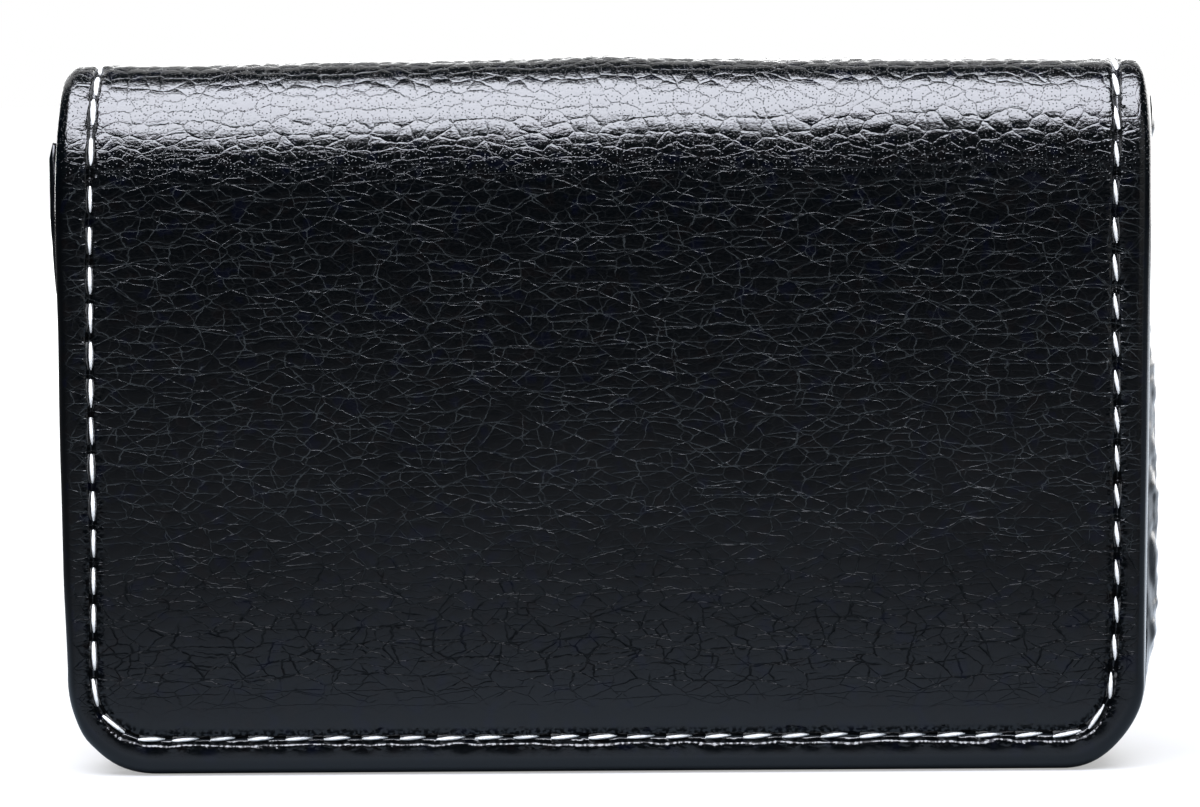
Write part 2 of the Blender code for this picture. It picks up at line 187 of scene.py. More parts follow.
def meshObject(name, points, faces, material, uv=None, sharpFaces=(), fields=None):
    mesh = bpy.data.meshes.new(name)
    mesh.from_pydata((np.asarray(points) * mm).tolist(), [], faces)
    mesh.update()
    if uv is not None:
        loops = np.zeros(len(mesh.loops), np.int64)
        mesh.loops.foreach_get("vertex_index", loops)
        layer = mesh.uv_layers.new(name="sheet")
        layer.data.foreach_set("uv", (np.asarray(uv)[loops] / 100).astype(np.float32).ravel())
    for label, values in (fields or {}).items():
        field = mesh.attributes.new(label, "FLOAT", "POINT")
        field.data.foreach_set("value", np.asarray(values, np.float32))
    mesh.materials.append(material)
    made = bpy.data.objects.new(name, mesh)
    scene.collection.objects.link(made)
    mesh.shade_smooth()
    if len(sharpFaces):
        # the outline of these faces stays sharp
        uses = np.zeros(len(mesh.edges), int)
        for face in sharpFaces:
            for loop in mesh.polygons[face].loop_indices:
                uses[mesh.loops[loop].edge_index] += 1
        mesh.attributes.new("sharp_edge", "BOOLEAN", "EDGE").data.foreach_set("value", uses == 1)
    return made


# the cover's sheet: x across, s up the panel and over the roll to the middle of the crown

cover = {
    "halfWidth": 50.0,
    "panelTop": 55.5,
    "outerFace": 7.5,
    "rollHeight": 9.5,
    "cornerRadius": 8.2,
    "frontFoot": 0.05,
    "skin": 0.6,
    "core": (0.7, 1.9),              # foam and board: their depth under the face, and how thick they are
    "coreLost": 0.7 / 1.9,           # the share of the core that is gone in the roll
    "thinningAngle": math.radians(22),
    "seamInset": 3.0,
    "stitchPitch": 3.5,
    "crownLift": 0.6,                # the roll stands a little higher in the middle of its width
    "crownDrop": 0.55,
    "crownEase": 1.2,                # the angle on the roll at which the lift is whole
    "rim": (47, 3),                  # where the rim starts, and how wide it is
    "rimFrom": 7,                    # so far from the crown the rim starts to round off
    "rimFall": 0.3,
    "rimPull": 0.1,
    # the roll starts lower and softer on the left, and squarer on the right:
    # side, depth, the heights where it starts and is whole, and where it begins to end
    "leans": ((-1, 0.38, 53, 60.5, 61), (1, -0.45, 55.5, 63, 64)),
    "footSeam": 0.32,                # the seam runs so much higher along the foot
    "rearWander": 57,                # under this height the seam of the back is straight
}
rollAngles = np.linspace(0, math.pi / 2, 500)
rollStep = np.hypot(cover["outerFace"] * np.sin(rollAngles), cover["rollHeight"] * np.cos(rollAngles))
rollArc = np.concatenate([[0], np.cumsum((rollStep[1:] + rollStep[:-1]) / 2 * np.diff(rollAngles))])
sheetTop = cover["panelTop"] + rollArc[-1]

outlineTables = {
    # height on the sheet, and the share of the half width there
    "leftShare": (
        (0, 0.980), (8.4, 0.981), (12.1, 0.9832), (17.6, 0.9875), (25, 0.9892), (29.6, 0.9911),
        (34, 0.9917), (40.6, 0.9918), (44, 0.9936), (49.7, 0.9951), (53.4, 0.9943), (58.2, 0.9904),
        (61.5, 0.9864), (65.2, 0.9847), (69, 0.9854),
    ),
    "rightShare": (
        (0, 0.999), (2.5, 0.994), (4.5, 0.987), (6.5, 0.9835), (8.2, 0.9835), (12.4, 0.985),
        (23.5, 0.9881), (29.9, 0.9903), (42.7, 0.9930), (50, 0.9955), (56.6, 0.9960), (58.8, 0.9945),
        (62.5, 0.9935), (67, 0.9945), (69, 0.9948),
    ),
    # height on the sheet, and how far the seam wanders towards the right
    "leftSeam": (
        (3, -0.40), (9, -0.41), (12, -0.34), (16, -0.18), (20, -0.01), (25, 0.02), (30, 0.06),
        (35, 0.04), (40, 0.09), (45, 0.22), (50, 0.28), (55.5, 0.34), (58.5, 0.28), (61.5, 0.20),
        (64.5, 0.32), (66, 0.41), (69, 0.45),
    ),
    "rightSeam": (
        (3, -0.25), (6, -0.40), (9, -0.25), (12, 0), (16, 0.12), (20, 0.04), (25, 0), (30, -0.07),
        (35, -0.17), (40, -0.29), (45, -0.36), (50, -0.47), (53, -0.45), (56, -0.33), (58.5, -0.23),
        (62, -0.20), (64.5, -0.10), (66, -0.02), (69, 0.02),
    ),
    # place across, and how far the crown stands off its even arch
    "crown": (
        (-50, 0.15), (-47.3, 0.15), (-44.5, 0), (-40, -0.13), (-36.5, -0.18), (-27, -0.16), (-18, -0.15),
        (-9, -0.06), (0, 0.10), (9, -0.02), (18, -0.12), (27, -0.05), (36.5, 0.10), (43, 0.06),
        (45.5, 0.18), (47.9, 0.34), (50, 0.34),
    ),
}


def softTable(points, reach=1.6):
    # the same table without its kinks
    points = np.array(points, float)
    fine = np.linspace(points[0, 0], points[-1, 0], 800)
    step = fine[1] - fine[0]
    weights = np.exp(-(np.arange(-3 * reach, 3 * reach + step, step) / reach) ** 2)
    values = np.interp(fine, points[:, 0], points[:, 1])
    padded = np.pad(values, len(weights), mode="edge")
    return fine, np.convolve(padded, weights / weights.sum(), "same")[len(weights):-len(weights)]


shapeOf = {name: softTable(points) for name, points in outlineTables.items()}


def bySide(x, s, kind):
    return np.where(x < 0, np.interp(s, *shapeOf["left" + kind]), np.interp(s, *shapeOf["right" + kind]))


def seamWander(x, s):
    # the seam isn't quite parallel to the edge: how far the sheet is drawn across and up near it
    near = easeBetween(np.abs(x), 40, 46.5) * easeBetween(np.abs(x), 50, 47.8)
    up = cover["footSeam"] * easeBetween(s, 9, 3.6) * easeBetween(s, 0, 2.4)
    return bySide(x, s, "Seam") * near, up


def placeOnCover(x, s, depth, side):
    # a point of the sheet, so deep under the outer face, in the shut case
    angle = np.interp(s - cover["panelTop"], rollArc, rollAngles)
    outY, outZ = np.cos(angle) / cover["outerFace"], np.sin(angle) / cover["rollHeight"]
    size = np.hypot(outY, outZ)
    outY, outZ = outY / size, outZ / size
    atCrown = easeBetween(s, sheetTop - cover["rimFrom"], sheetTop)
    rimShare = np.clip((np.abs(x) - cover["rim"][0]) / cover["rim"][1], 0, 1)
    depth = depth + cover["rimFall"] * atCrown * rimShare ** 2.5
    for sign, lean, start, whole, ending in cover["leans"]:
        toSide = np.clip(sign * x / cover["halfWidth"], 0, 1) ** 0.8
        depth = depth + lean * toSide * easeBetween(s, start, whole) * easeBetween(s, sheetTop, ending)
    thinned = np.minimum(1, angle / cover["thinningAngle"]) * cover["coreLost"]
    depth = depth - np.clip(depth - cover["core"][0], 0, cover["core"][1]) * thinned
    y = cover["outerFace"] * np.cos(angle) - outY * depth
    rise = cover["rollHeight"] * np.sin(angle) - outZ * depth
    arch = cover["crownLift"] * (1 - (x / cover["halfWidth"]) ** 2) - cover["crownDrop"]
    lift = arch + np.interp(x, *shapeOf["crown"])
    rise = rise * (1 + lift / cover["rollHeight"] * easeBetween(angle, 0, cover["crownEase"]))
    foot = cover["frontFoot"] if side < 0 else 0.0
    across, up = seamWander(x, s)
    if side > 0:
        across, up = across * easeBetween(s, cover["rearWander"], sheetTop - 0.5), 0
    panel = foot + np.minimum(s + up, cover["panelTop"]) * (1 - foot / cover["panelTop"])
    narrow = x + across - np.sign(x) * cover["rimPull"] * atCrown * rimShare
    return np.stack([narrow * bySide(x, s, "Share"), side * y, panel + rise], -1)


# the pressed grain: one node pattern, read by the mesh through geometry nodes and by the material

grain = {
    # noise scale per millimetre, and the reach of the bend
    "wideWarp": (0.16, (2.6, 2.0, 0)),
    "nearWarp": (1.1, (0.55, 0.45, 0)),
    "fineWarp": (2.7, (0.20, 0.16, 0)),
    "squeeze": (10.0, 0.42),                   # beyond this height from the crown the cells are flatter
    "cells": (0.0, 1.75, 1.55, 0.0),           # turn, width and height of the cells, and a shift of the pattern
    "crossing": ((0.56, 3.5, 2.1, 17.3), (-0.52, 3.7, 2.2, 41.9)),
    "levels": (0.03, 2.0),                     # turn and spacing of the lines that run across
    # how much of each net is pressed in: its change towards the roll, and its share on the panel
    "cellsWeight": (0.82, 0.18),
    "crossingWeight": (-0.75, 1.0),
    "levelsWeight": (-0.8, 1.0),
    "crossingFade": (0.33, 0.30, 0.48),        # scale and limits of the noise that fades a net
    "levelsFade": (0.21, 5.37, 0.34, 0.50),    # along a line, from line to line, and the limits
    "lineHalf": 0.075,
    "softHalf": 0.28,
    "domeReach": 0.55,
    "footFade": (9.5, 4.5),
    "sideFade": (48.4, 50.0),
    "rollFade": (58.8, 52.3),
}


def grainNodes(desk, place):
    # from a place on the sheet: depth in a line, depth near a line, height on a cell, share of the roll
    maths, ease = desk.maths, desk.ease

    def bend(source, scale, reach):
        return (desk.noise(source, scale, 1.0, output="Color") - (0.5, 0.5, 0.5)) * reach

    height = place @ (0, 1, 0)
    away = abs(height)
    start, more = grain["squeeze"]
    extra = maths("SMOOTH_MAX", away - start, 0.0, 4.0) * more
    bent = place + desk.joined(0.0, maths("SIGN", height) * extra)
    bent = bent + bend(place, *grain["wideWarp"])
    bent = bent + bend(bent, *grain["nearWarp"])
    bent = bent + bend(place, *grain["fineWarp"])

    def edges(turn, wide, tall, shift):
        across = bent @ (math.cos(turn) / wide, math.sin(turn) / wide, 0)
        up = bent @ (-math.sin(turn) / tall, math.cos(turn) / tall, 0)
        toEdge = desk.cells(desk.joined(across + shift, up + shift * 0.7), "DISTANCE_TO_EDGE", 0.85)
        return toEdge[0] * math.sqrt(wide * tall)

    def fromTop(heights):
        # one above the first height, none under the second
        return ease(away, sheetTop - heights[0], sheetTop - heights[1], 1.0, 0.0)

    def weight(label):
        change, share = grain[label]
        return roll * change + share

    roll = fromTop(grain["rollFade"])
    calm = fromTop(grain["footFade"]) * ease(abs(place @ (1, 0, 0)), *grain["sideFade"], 1.0, 0.0)
    toCell = edges(*grain["cells"])
    nets = [(toCell, weight("cellsWeight"))]
    scale, low, high = grain["crossingFade"]
    for setting, shift in zip(grain["crossing"], (31.0, 43.0)):
        cloud = desk.noise(place + (shift, shift, 0), scale, 1.0)
        nets.append((edges(*setting), ease(cloud, low, high) * weight("crossingWeight")))
    turn, spacing = grain["levels"]
    lengthways, stepways, low, high = grain["levelsFade"]
    phase = maths("DIVIDE", bent @ (-math.sin(turn), math.cos(turn), 0), spacing)
    level = maths("ROUND", phase)
    cloud = desk.noise(desk.joined(place @ (lengthways, 0, 0), level * stepways), 1.0, 0.0)
    nets.append((abs(phase - level) * spacing, ease(cloud, low, high) * weight("levelsWeight")))

    def deepest(half):
        first, *others = [ease(distance, 0.0, half, 1.0, 0.0) * strength for distance, strength in nets]
        for value in others:
            first = maths("MAXIMUM", first, value)
        return first

    found = deepest(grain["lineHalf"]), deepest(grain["softHalf"]), ease(toCell, 0.0, grain["domeReach"])
    return [value * calm for value in found] + [roll]


def sampledGrain(step=0.15, across=56.0, up=78.0):
    # the pattern read on a fine lattice, so that the mesh can take its share of the relief
    wide, tall = round(2 * across / step) + 1, round(2 * up / step) + 1
    x, u = np.meshgrid(np.linspace(-across, across, wide), np.linspace(-up, up, tall))
    mesh = bpy.data.meshes.new("grain lattice")
    mesh.vertices.add(x.size)
    mesh.vertices.foreach_set("co", np.stack([x, u, 0 * x], -1).astype(np.float32).ravel())
    desk, given, end = geometryTree("grainPattern", {})
    _, soft, dome, _ = grainNodes(desk, desk.take(0, "GeometryNodeInputPosition"))
    flow = given["Geometry"]
    for label, value in (("soft", soft), ("dome", dome)):
        inputs = {"Geometry": flow, "Name": label, "Value": value}
        flow = desk.take("Geometry", "GeometryNodeStoreNamedAttribute", inputs, data_type="FLOAT", domain="POINT")
    desk.give(end, {"Geometry": flow})
    lattice = bpy.data.objects.new("grain lattice", mesh)
    scene.collection.objects.link(lattice)
    lattice.modifiers.new("grain", "NODES").node_group = desk.tree
    read = evaluatedObject(lattice).data
    found = {label: np.zeros(x.size, np.float32) for label in ("soft", "dome")}
    for label, values in found.items():
        read.attributes[label].data.foreach_get("value", values)
    bpy.data.objects.remove(lattice)
    bpy.data.meshes.remove(mesh)

    def at(label, x, u):
        column = np.clip((x + across) / step, 0, wide - 1.001)
        row = np.clip((u + up) / step, 0, tall - 1.001)
        c, r = column.astype(int), row.astype(int)
        cs, rs = column - c, row - r
        f = found[label].reshape(tall, wide)
        low = f[r, c] * (1 - cs) + f[r, c + 1] * cs
        high = f[r + 1, c] * (1 - cs) + f[r + 1, c + 1] * cs
        return low * (1 - rs) + high * rs

    return at


grainAt = sampledGrain()
print("grain sampled")


class SheetGrid:
    # an inner grid and the band of rings between it and the outline, all in sheet coordinates
    def __init__(self, cell, top, fineTop, foot=0.0, half=cover["halfWidth"], radius=cover["cornerRadius"],
                 reach=9.0, zone=30.0):
        self.half, self.radius, self.reach, self.zone, self.foot = half, radius, reach, zone, foot
        rows = np.linspace(reach, top - foot, round((top - foot - reach) / cell) + 1)
        fine = [top - foot - step for step in fineTop]
        kept = [r for r in rows if r < min(fine) - cell / 3 or r == rows[-1]]
        self.rows = np.array(sorted(kept + fine))
        self.columns = np.linspace(reach, 2 * half - reach, 2 * round((half - reach) / cell) + 1)
        across, up = np.meshgrid(self.columns - half, self.rows)
        self.gridX, self.gridS = across.ravel(), up.ravel() + foot
        self.numbers = np.arange(across.size).reshape(across.shape)
        self.border = np.concatenate([self.numbers[:0:-1, 0], self.numbers[0], self.numbers[1:, -1]])
        self.inner = np.stack([self.gridX, up.ravel()], -1)[self.border]

    def outline(self, inset):
        # down the left side, along the foot and up the right, with one point for each edge of the grid
        rows, columns, reach, zone = self.rows, self.columns, self.reach, self.zone
        straight, bend = zone - self.radius, self.radius - inset
        arc = math.pi / 2 * bend
        steps = np.concatenate([
            zone - rows[rows < zone][::-1], (zone - reach) + (columns[columns < zone] - reach)[1:],
        ])
        run = steps / (2 * (zone - reach)) * (2 * straight + arc)
        angle = np.clip((run - straight) / bend, 0, math.pi / 2)
        inwards = self.radius - bend * np.cos(angle) + np.maximum(run - straight - arc, 0)
        up = self.radius - bend * np.sin(angle) + np.maximum(straight - run, 0)
        high = rows[rows >= zone][::-1]
        inwards, up = np.concatenate([np.full(len(high), inset), inwards]), np.concatenate([high, up])
        middle = columns[(columns >= zone) & (columns <= 2 * self.half - zone)] - self.half
        x = np.concatenate([inwards - self.half, middle, (self.half - inwards)[::-1]])
        return np.stack([x, np.concatenate([up, np.full(len(middle), inset), up[::-1]])], -1)

    def ring(self, inset):
        # the points of the band that lie so far inside the outline
        turnIn = 5.0 * self.reach / 9.0
        points = self.outline(min(inset, turnIn))
        if inset > turnIn:
            share = (inset - turnIn) / (self.reach - turnIn)
            points = points * (1 - share) + self.inner * share
        return points[:, 0], points[:, 1] + self.foot


# where each stitch pitch starts along the seam, measured from the crown on the left
sewing = (
    (0, 3.5), (7, 4.25), (11, 4.4), (16, 3.7), (20, 3.6), (23, 3.42), (60, 3.6), (68, 3.1), (71, 3.52),
    (113, 3.56), (162, 3.46),
)


def seamCentres(whole):
    # the middle of each stitch along the seam
    centres, run = [], 0.75
    while run < whole - 0.6:
        centres.append(run)
        run += [pitch for start, pitch in sewing if run >= start][-1]
    return np.array(centres)


def seamCount(run):
    # position counted in stitches: whole in the middle of a stitch, a half more at a hole
    centres = seamCentres(run[-1])
    first = centres[0] / (centres[1] - centres[0])
    last = (run[-1] - centres[-1]) / (centres[-1] - centres[-2])
    index = np.arange(len(centres))
    return np.interp(run, [0, *centres, run[-1]], [-first, *index, index[-1] + last])


def seamRun(grid):
    # how far each point of a ring lies along the seam, from the crown on the left
    x, s = grid.ring(cover["seamInset"])
    return np.concatenate([[0], np.cumsum(np.hypot(np.diff(x), np.diff(s)))])


def sheetShell(name, grid, section, outer, inner, place, material, side=None):
    # a closed shell: the section lists the rings from the grid out to the edge and round it,
    # each as inset and depth outside, inset and depth inside, and the inset in the pattern
    count = grid.gridX.size
    points = [place(grid.gridX, grid.gridS, depth(grid.gridX, grid.gridS, None)) for depth in (outer, inner)]
    uv = [np.stack([grid.gridX, grid.gridS], -1)] * 2
    offs, alongs = [np.full(2 * count, 6.0)], [np.zeros(2 * count)]
    outRings, inRings = [grid.border], [grid.border + count]
    around = len(grid.border)
    numbers = np.arange(around) + 2 * count
    along = seamCount(seamRun(grid)) if side else np.zeros(around)
    for outInset, outDepth, inInset, inDepth, mark in section:
        for inset, depth, rings in ((outInset, outDepth, outRings), (inInset, inDepth, inRings)):
            x, s = grid.ring(inset)
            points.append(place(x, s, depth(x, s, inset)))
            uv.append(np.stack(grid.ring(mark), -1))
            offs.append(np.full(around, mark - cover["seamInset"]))
            alongs.append(along)
            rings.append(numbers)
            numbers = numbers + around
    faces = []
    for first, second in zip(grid.numbers[:-1], grid.numbers[1:]):
        faces += band(first, second) + turned(band(first + count, second + count))
    chain = outRings + inRings[::-1]
    for first, second in zip(chain[:-1], chain[1:]):
        faces += turned(band(first, second))
    capStart = len(faces)
    outRings, inRings = np.array(outRings), np.array(inRings)
    faces += band(grid.numbers[-1], grid.numbers[-1] + count)
    faces += band(inRings[:, 0], outRings[:, 0]) + band(outRings[:, -1], inRings[:, -1])
    if place(np.array([0.0]), np.array([1.0]), np.array([0.0]))[0][1] > 0:
        faces = [f[::-1] for f in faces]
    uv = np.vstack(uv)
    fields = None
    if side:
        uv[:, 1] = side * (sheetTop - uv[:, 1])
        fields = {"seamOff": np.concatenate(offs), "seamAlong": np.concatenate(alongs)}
    return meshObject(name, np.vstack(points), faces, material, uv, range(capStart, len(faces)), fields)


# the seam and the leather's own relief

seam = {
    "coreDepth": 0.46,
    "coreHalf": 0.25,
    "lipHalf": (0.32, 0.44),       # towards the rim, along the sides and along the foot
    "rim": (0.12, 1.0),            # depth and half width of the soft valley
    "panel": (0.06, 0.6),
    "holeDepth": 0.20,
    "holeLong": 0.32,
    "holeWide": 0.55,
    "pucker": 0.045,
    "squiggle": 0.4,
}
relief = {
    "crown": 0.22,
    "wander": 0.05,
    "rollWander": 0.09,
    "softLine": (0.006, 0.026),    # how deep the creases lie in the mesh, on the panel and on the roll
    "dome": (0.009, 0.078),        # how far the cells stand out
    "fade": (4.5, 9.5),
}


def coverRelief(grid, side, seed):
    run = seamRun(grid)
    count = seamCount(run)
    toHole = (0.5 - np.abs(count - np.round(count))) * cover["stitchPitch"]
    squiggle = 1 + seam["squiggle"] * latticeNoise(run / 1.1, 3.3, seed + 5)

    def depthOf(x, s, inset):
        # the outer face's depth under the flat cover; u runs on over the crown
        u = side * (sheetTop - s)
        within = np.clip(1 - (np.abs(x) / 47.5) ** 8, 0, 1)
        onRoll = easeBetween(s, 50, 58)
        lift = relief["crown"] * (1 - (x / 47) ** 2) * np.clip(1 - ((s - 30) / 27) ** 2, 0, 1)
        lift = lift + relief["wander"] * latticeNoise(x / 17, u / 9, seed) * easeBetween(s, *relief["fade"])
        lift = lift + relief["rollWander"] * latticeNoise(x / 8, u / 5, seed + 9) * onRoll
        line, dome = [relief[k][0] * (1 - onRoll) + relief[k][1] * onRoll for k in ("softLine", "dome")]
        depth = -lift * within + line * grainAt("soft", x, u) - dome * (grainAt("dome", x, u) - 0.5)
        if inset is None:
            return depth
        off = inset - cover["seamInset"]
        softDepth, soft = seam["rim" if off < 0 else "panel"]
        lip = seam["lipHalf"][0] + (seam["lipHalf"][1] - seam["lipHalf"][0]) * easeBetween(s, 12, 5)
        half, power = (lip, 4) if off < 0 else (seam["coreHalf"], 2)
        core = np.exp(-(off / (half * squiggle)) ** power)
        valley = softDepth * np.exp(-(off / soft) ** 2) + seam["coreDepth"] * core
        hole = seam["holeDepth"] * np.exp(-(toHole / seam["holeLong"]) ** 2 - (off / seam["holeWide"]) ** 2)
        near = np.exp(-((abs(off) - 0.6) / 0.5) ** 2)
        pucker = seam["pucker"] * near * latticeNoise(run / 0.8, inset / 1.6, seed + 6)
        return depth * easeBetween(inset, 1.2, 4.2) + valley + hole + pucker * easeBetween(inset, 0.6, 2.0)

    return depthOf


turnedEdge = {
    # insets of the rings from the inner grid to the crest of the rim
    "insets": (
        8.4, 7.8, 7.2, 6.6, 6.0, 5.5, 5.0, 4.6, 4.25, 4.0, 3.8, 3.6, 3.45, 3.3, 3.2, 3.1, 3.0,
        2.9, 2.8, 2.7, 2.6, 2.52, 2.46, 2.40, 2.34, 2.26, 2.14, 2.0, 1.8, 1.6, 1.4, 1.25,
    ),
    "crest": 1.25,
    "middle": 2.0,                 # depth at which the edge stands furthest out
    "under": 1.15,                 # inset at which the lower turn ends
    "hem": 3.2,                    # depth of the hem's face
    "hemInset": 6.3,
}


def flatDepth(depth):
    return lambda x, s, inset: depth + 0 * x


def turnedSection(outer):
    # from the inner grid out over the seam, round the edge and back in along the hem
    crest, middle, under, hem = [turnedEdge[name] for name in ("crest", "middle", "under", "hem")]
    skin = cover["skin"]
    lower = lambda x, s, inset: outer(x, s, inset) + skin
    section = [(inset, outer, inset, lower, inset) for inset in turnedEdge["insets"]]

    def turn(face, cosine):
        return lambda x, s, inset: middle - (middle - face(x, s, crest)) * cosine

    for angle in math.pi / 2 * np.arange(1, 9) / 8:
        sine, cosine = math.sin(angle), math.cos(angle)
        outInset, inInset = crest * (1 - sine), crest - (crest - skin) * sine
        section.append((outInset, turn(outer, cosine), inInset, turn(lower, cosine), crest - 1.9 * angle))
    for angle in math.pi / 2 * np.arange(1, 6) / 5:
        sine, cosine = math.sin(angle), math.cos(angle)
        section.append((
            under * (1 - cosine), flatDepth(middle + (hem - middle) * sine),
            under - (under - skin) * cosine, flatDepth(middle + (hem - skin - middle) * sine),
            -1.2 - 1.2 * angle,
        ))
    for inset in np.linspace(under + 0.7, turnedEdge["hemInset"], 7):
        section.append((inset, flatDepth(hem), inset, flatDepth(hem - skin), -3.1 - inset))
    return section


def slabSection(edge, outer, inner, reach=9.0, steps=8):
    # a plain layer that ends a given way inside the outline, with a small rounded edge
    def mixed(share):
        return lambda x, s, inset: outer(x, s, inset) * (1 - share) + inner(x, s, inset) * share

    section = [(inset, outer, inset, inner, inset) for inset in np.linspace(reach, edge + 0.2, steps + 1)[1:]]
    section.append((edge + 0.05, mixed(0.2), edge + 0.05, mixed(0.8), edge))
    section.append((edge, mixed(0.42), edge, mixed(0.58), edge))
    return section


# materials

def newMaterial(name, color, roughness, specular=0.5, metallic=0.0):
    material = bpy.data.materials.new(name)
    material.use_nodes = True
    desk = NodeDesk(material.node_tree)
    shader = next(n for n in material.node_tree.nodes if n.type == "BSDF_PRINCIPLED")
    desk.give(shader, {
        "Base Color": (*color, 1), "Roughness": roughness, "Specular IOR Level": specular, "Metallic": metallic,
    })
    return material, desk, shader


leather = {
    # relief in millimetres, on the panel and on the roll
    "sharpLine": (0.0082, 0.019),
    "softLine": (0.002, 0.018),
    "pit": (0.002, 0.034),
    "wrinkle": (0.0018, 0.0300),
    "deeper": 0.42,                         # how much deeper the creases near the foot are
    "crease": 0.020,                        # from the stitch holes
    "gathers": 0.18,                        # along the lips of the seam
    "lineHighlightTone": (0.0190, 0.0215, 0.0220),   # painted highlight: the grooves are paler in the base colour, for the light their shoulders catch
    "lineHighlightHeights": (32, 9),                 # and the painted highlight is weaker near the foot
    "lowHeights": (30, 17),                 # under these the creases turn dark
    "roughness": (0.12, 0.19),
    "sheen": 0.75,
    "dullLine": 0.78,                       # share of the sheen that the dark creases lose
    "brokenLip": 0.85,                      # and the seam's lips in places
}


def grainedLeatherette(name, tone):
    # black leatherette with a pressed grain, fine wrinkles, pores, and creases from the stitch holes
    material, desk, shader = newMaterial(name, tone, 0.24, leather["sheen"])
    maths, ease, noise = desk.maths, desk.ease, desk.noise
    place = desk.take(0, "ShaderNodeUVMap", uv_map="sheet") * (100, 100, 0)   # the map in millimetres
    sharp, soft, _, roll = grainNodes(desk, place)
    away = abs(place @ (0, 1, 0))

    def pressed(label):
        onPanel, onRoll = leather[label]
        return roll * (onRoll - onPanel) + onPanel

    # the lines come and go along their length, more so on the roll
    fine = noise(place * (0.8, 1.25, 1), 3.4, 3.0, 0.55)
    broken = 1.0 - ease(fine, 0.55, 0.42) * (roll * 0.55 + 0.10)
    lowDown = ease(away, *[sheetTop - height for height in leather["lowHeights"]])
    deeper = lowDown * leather["deeper"] + 1.0
    height = sharp * broken * pressed("sharpLine") * deeper * -1.0 - soft * pressed("softLine")
    # pores, one in some of the small cells
    toPore, poreMark = desk.cells(place * (2.9, 3.1, 0), "F1", outputs=("Distance", "Color"))
    pit = ease(toPore, 0.04, 0.2, 1.0, 0.0) * ease(poreMark @ (1, 0, 0), 0.42, 0.6)
    height = height - pit * pressed("pit") + fine * pressed("wrinkle")

    # creases that fan out from the holes, on both sides of the seam
    off, along = [
        desk.take("Fac", "ShaderNodeAttribute", attribute_name=label) for label in ("seamOff", "seamAlong")
    ]
    hole = maths("FLOOR", along)
    toHole = (along - hole - 0.5) * cover["stitchPitch"]
    beside = abs(off)
    fan = maths("DIVIDE", toHole, beside + 0.35)
    streaks = noise(desk.joined(fan * 1.15, hole * 5.7 + maths("SIGN", off) * 2.3, beside * 0.5), 1.0, 1.0)
    reach = ease(beside, 0.25, 1.9, 1.0, 0.0) * ease(abs(toHole), 0.5, 1.6, 1.0, 0.0)
    crease = ease(abs(streaks - 0.5), 0.0, 0.055, 1.0, 0.0) * reach * (roll * 0.85 + 0.15)
    # small gathers along the lips of the seam
    lips = ease(beside, 0.15, 0.4) * ease(beside, 1.1, 0.6)
    gather = (noise(place, 1.3) - 0.5) * leather["gathers"]
    height = height - crease * leather["crease"] + lips * gather

    # less sheen in the creases near the foot and in places on the lips there
    dark = maths("MAXIMUM", sharp, ease(soft, 0.62, 1.0))
    dull = dark * lowDown * -leather["dullLine"] + 1.0
    flecks = ease(noise(place, 2.6), 0.44, 0.56)
    dullLips = lips * flecks * lowDown * -leather["brokenLip"] + 1.0

    # a faint drift of colour, and a painted highlight: grooves paler in the base colour
    reddish = (tone[0] * 2.2, tone[1] * 1.1, tone[2] * 0.9)
    bluish = (tone[0] * 1.0, tone[1] * 1.1, tone[2] * 3.0)
    drift = desk.ramp(noise(place, 0.5), (0.33, reddish), (0.67, bluish), (0.42, tone), (0.58, tone))
    # the painted highlight on the grooves fades near the foot and on the roll
    footwards = ease(away, *[sheetTop - height for height in leather["lineHighlightHeights"]], 1.0, 0.15)
    fading = ease(noise(place, 0.9), 0.40, 0.57, 0.3, 1.0)
    lineHighlight = sharp * footwards * (roll * -0.8 + 1.0) * fading
    desk.give(shader, {
        "Base Color": drift + desk.joined(lineHighlight, lineHighlight, lineHighlight) * leather["lineHighlightTone"],
        "Roughness": ease(fine, 0.3, 0.7, *leather["roughness"]),
        "Specular IOR Level": dull * dullLips * leather["sheen"],
        "Normal": desk.bump(height, 1.0, mm),
    })
    return material


def speckled(name, dark, light, roughness, scale, bump, metallic=0.0, stretch=(1, 1, 1), specular=0.5):
    # an even procedural finish: mottled colour and a fine relief
    material, desk, shader = newMaterial(name, dark, roughness, specular, metallic)
    mottle = desk.noise(desk.take("Object", "ShaderNodeTexCoord") * stretch, scale, 4.0)
    desk.give(shader, {
        "Base Color": desk.ramp(mottle, (0.35, dark), (0.7, light)), "Normal": desk.bump(mottle, 0.5, bump),
    })
    return material


leatherette = grainedLeatherette("black grained leatherette", (0.0004, 0.0006, 0.0008))
leatherInside = speckled(
    "black leatherette inside", (0.008, 0.008, 0.010), (0.014, 0.015, 0.018), 0.42, 900, 0.00006)
gussetLeather = speckled(
    "glossy gusset leatherette", (0.0010, 0.0014, 0.0018), (0.0016, 0.0020, 0.0026), 0.2, 700, 0.000012,
    specular=0.6)
suede = speckled(
    "black lining suede", (0.010, 0.010, 0.011), (0.028, 0.028, 0.031), 0.9, 2600, 0.00008, specular=0.2)
foam = speckled("grey foam", (0.10, 0.10, 0.10), (0.20, 0.20, 0.20), 0.9, 3000, 0.0001, specular=0.2)
greyboard = speckled(
    "grey board", (0.22, 0.20, 0.18), (0.38, 0.36, 0.32), 0.85, 1500, 0.00005, stretch=(1, 1, 3), specular=0.2)
whiteThread = speckled("white seam thread", (0.62, 0.62, 0.60), (0.86, 0.86, 0.84), 0.6, 2500, 0.00006)
blackThread = speckled("black pocket thread", (0.010, 0.010, 0.011), (0.03, 0.03, 0.03), 0.6, 2500, 0.00006)
nickel = speckled("nickel plate", (0.55, 0.54, 0.52), (0.68, 0.67, 0.64), 0.28, 1800, 0.00001, metallic=1.0)
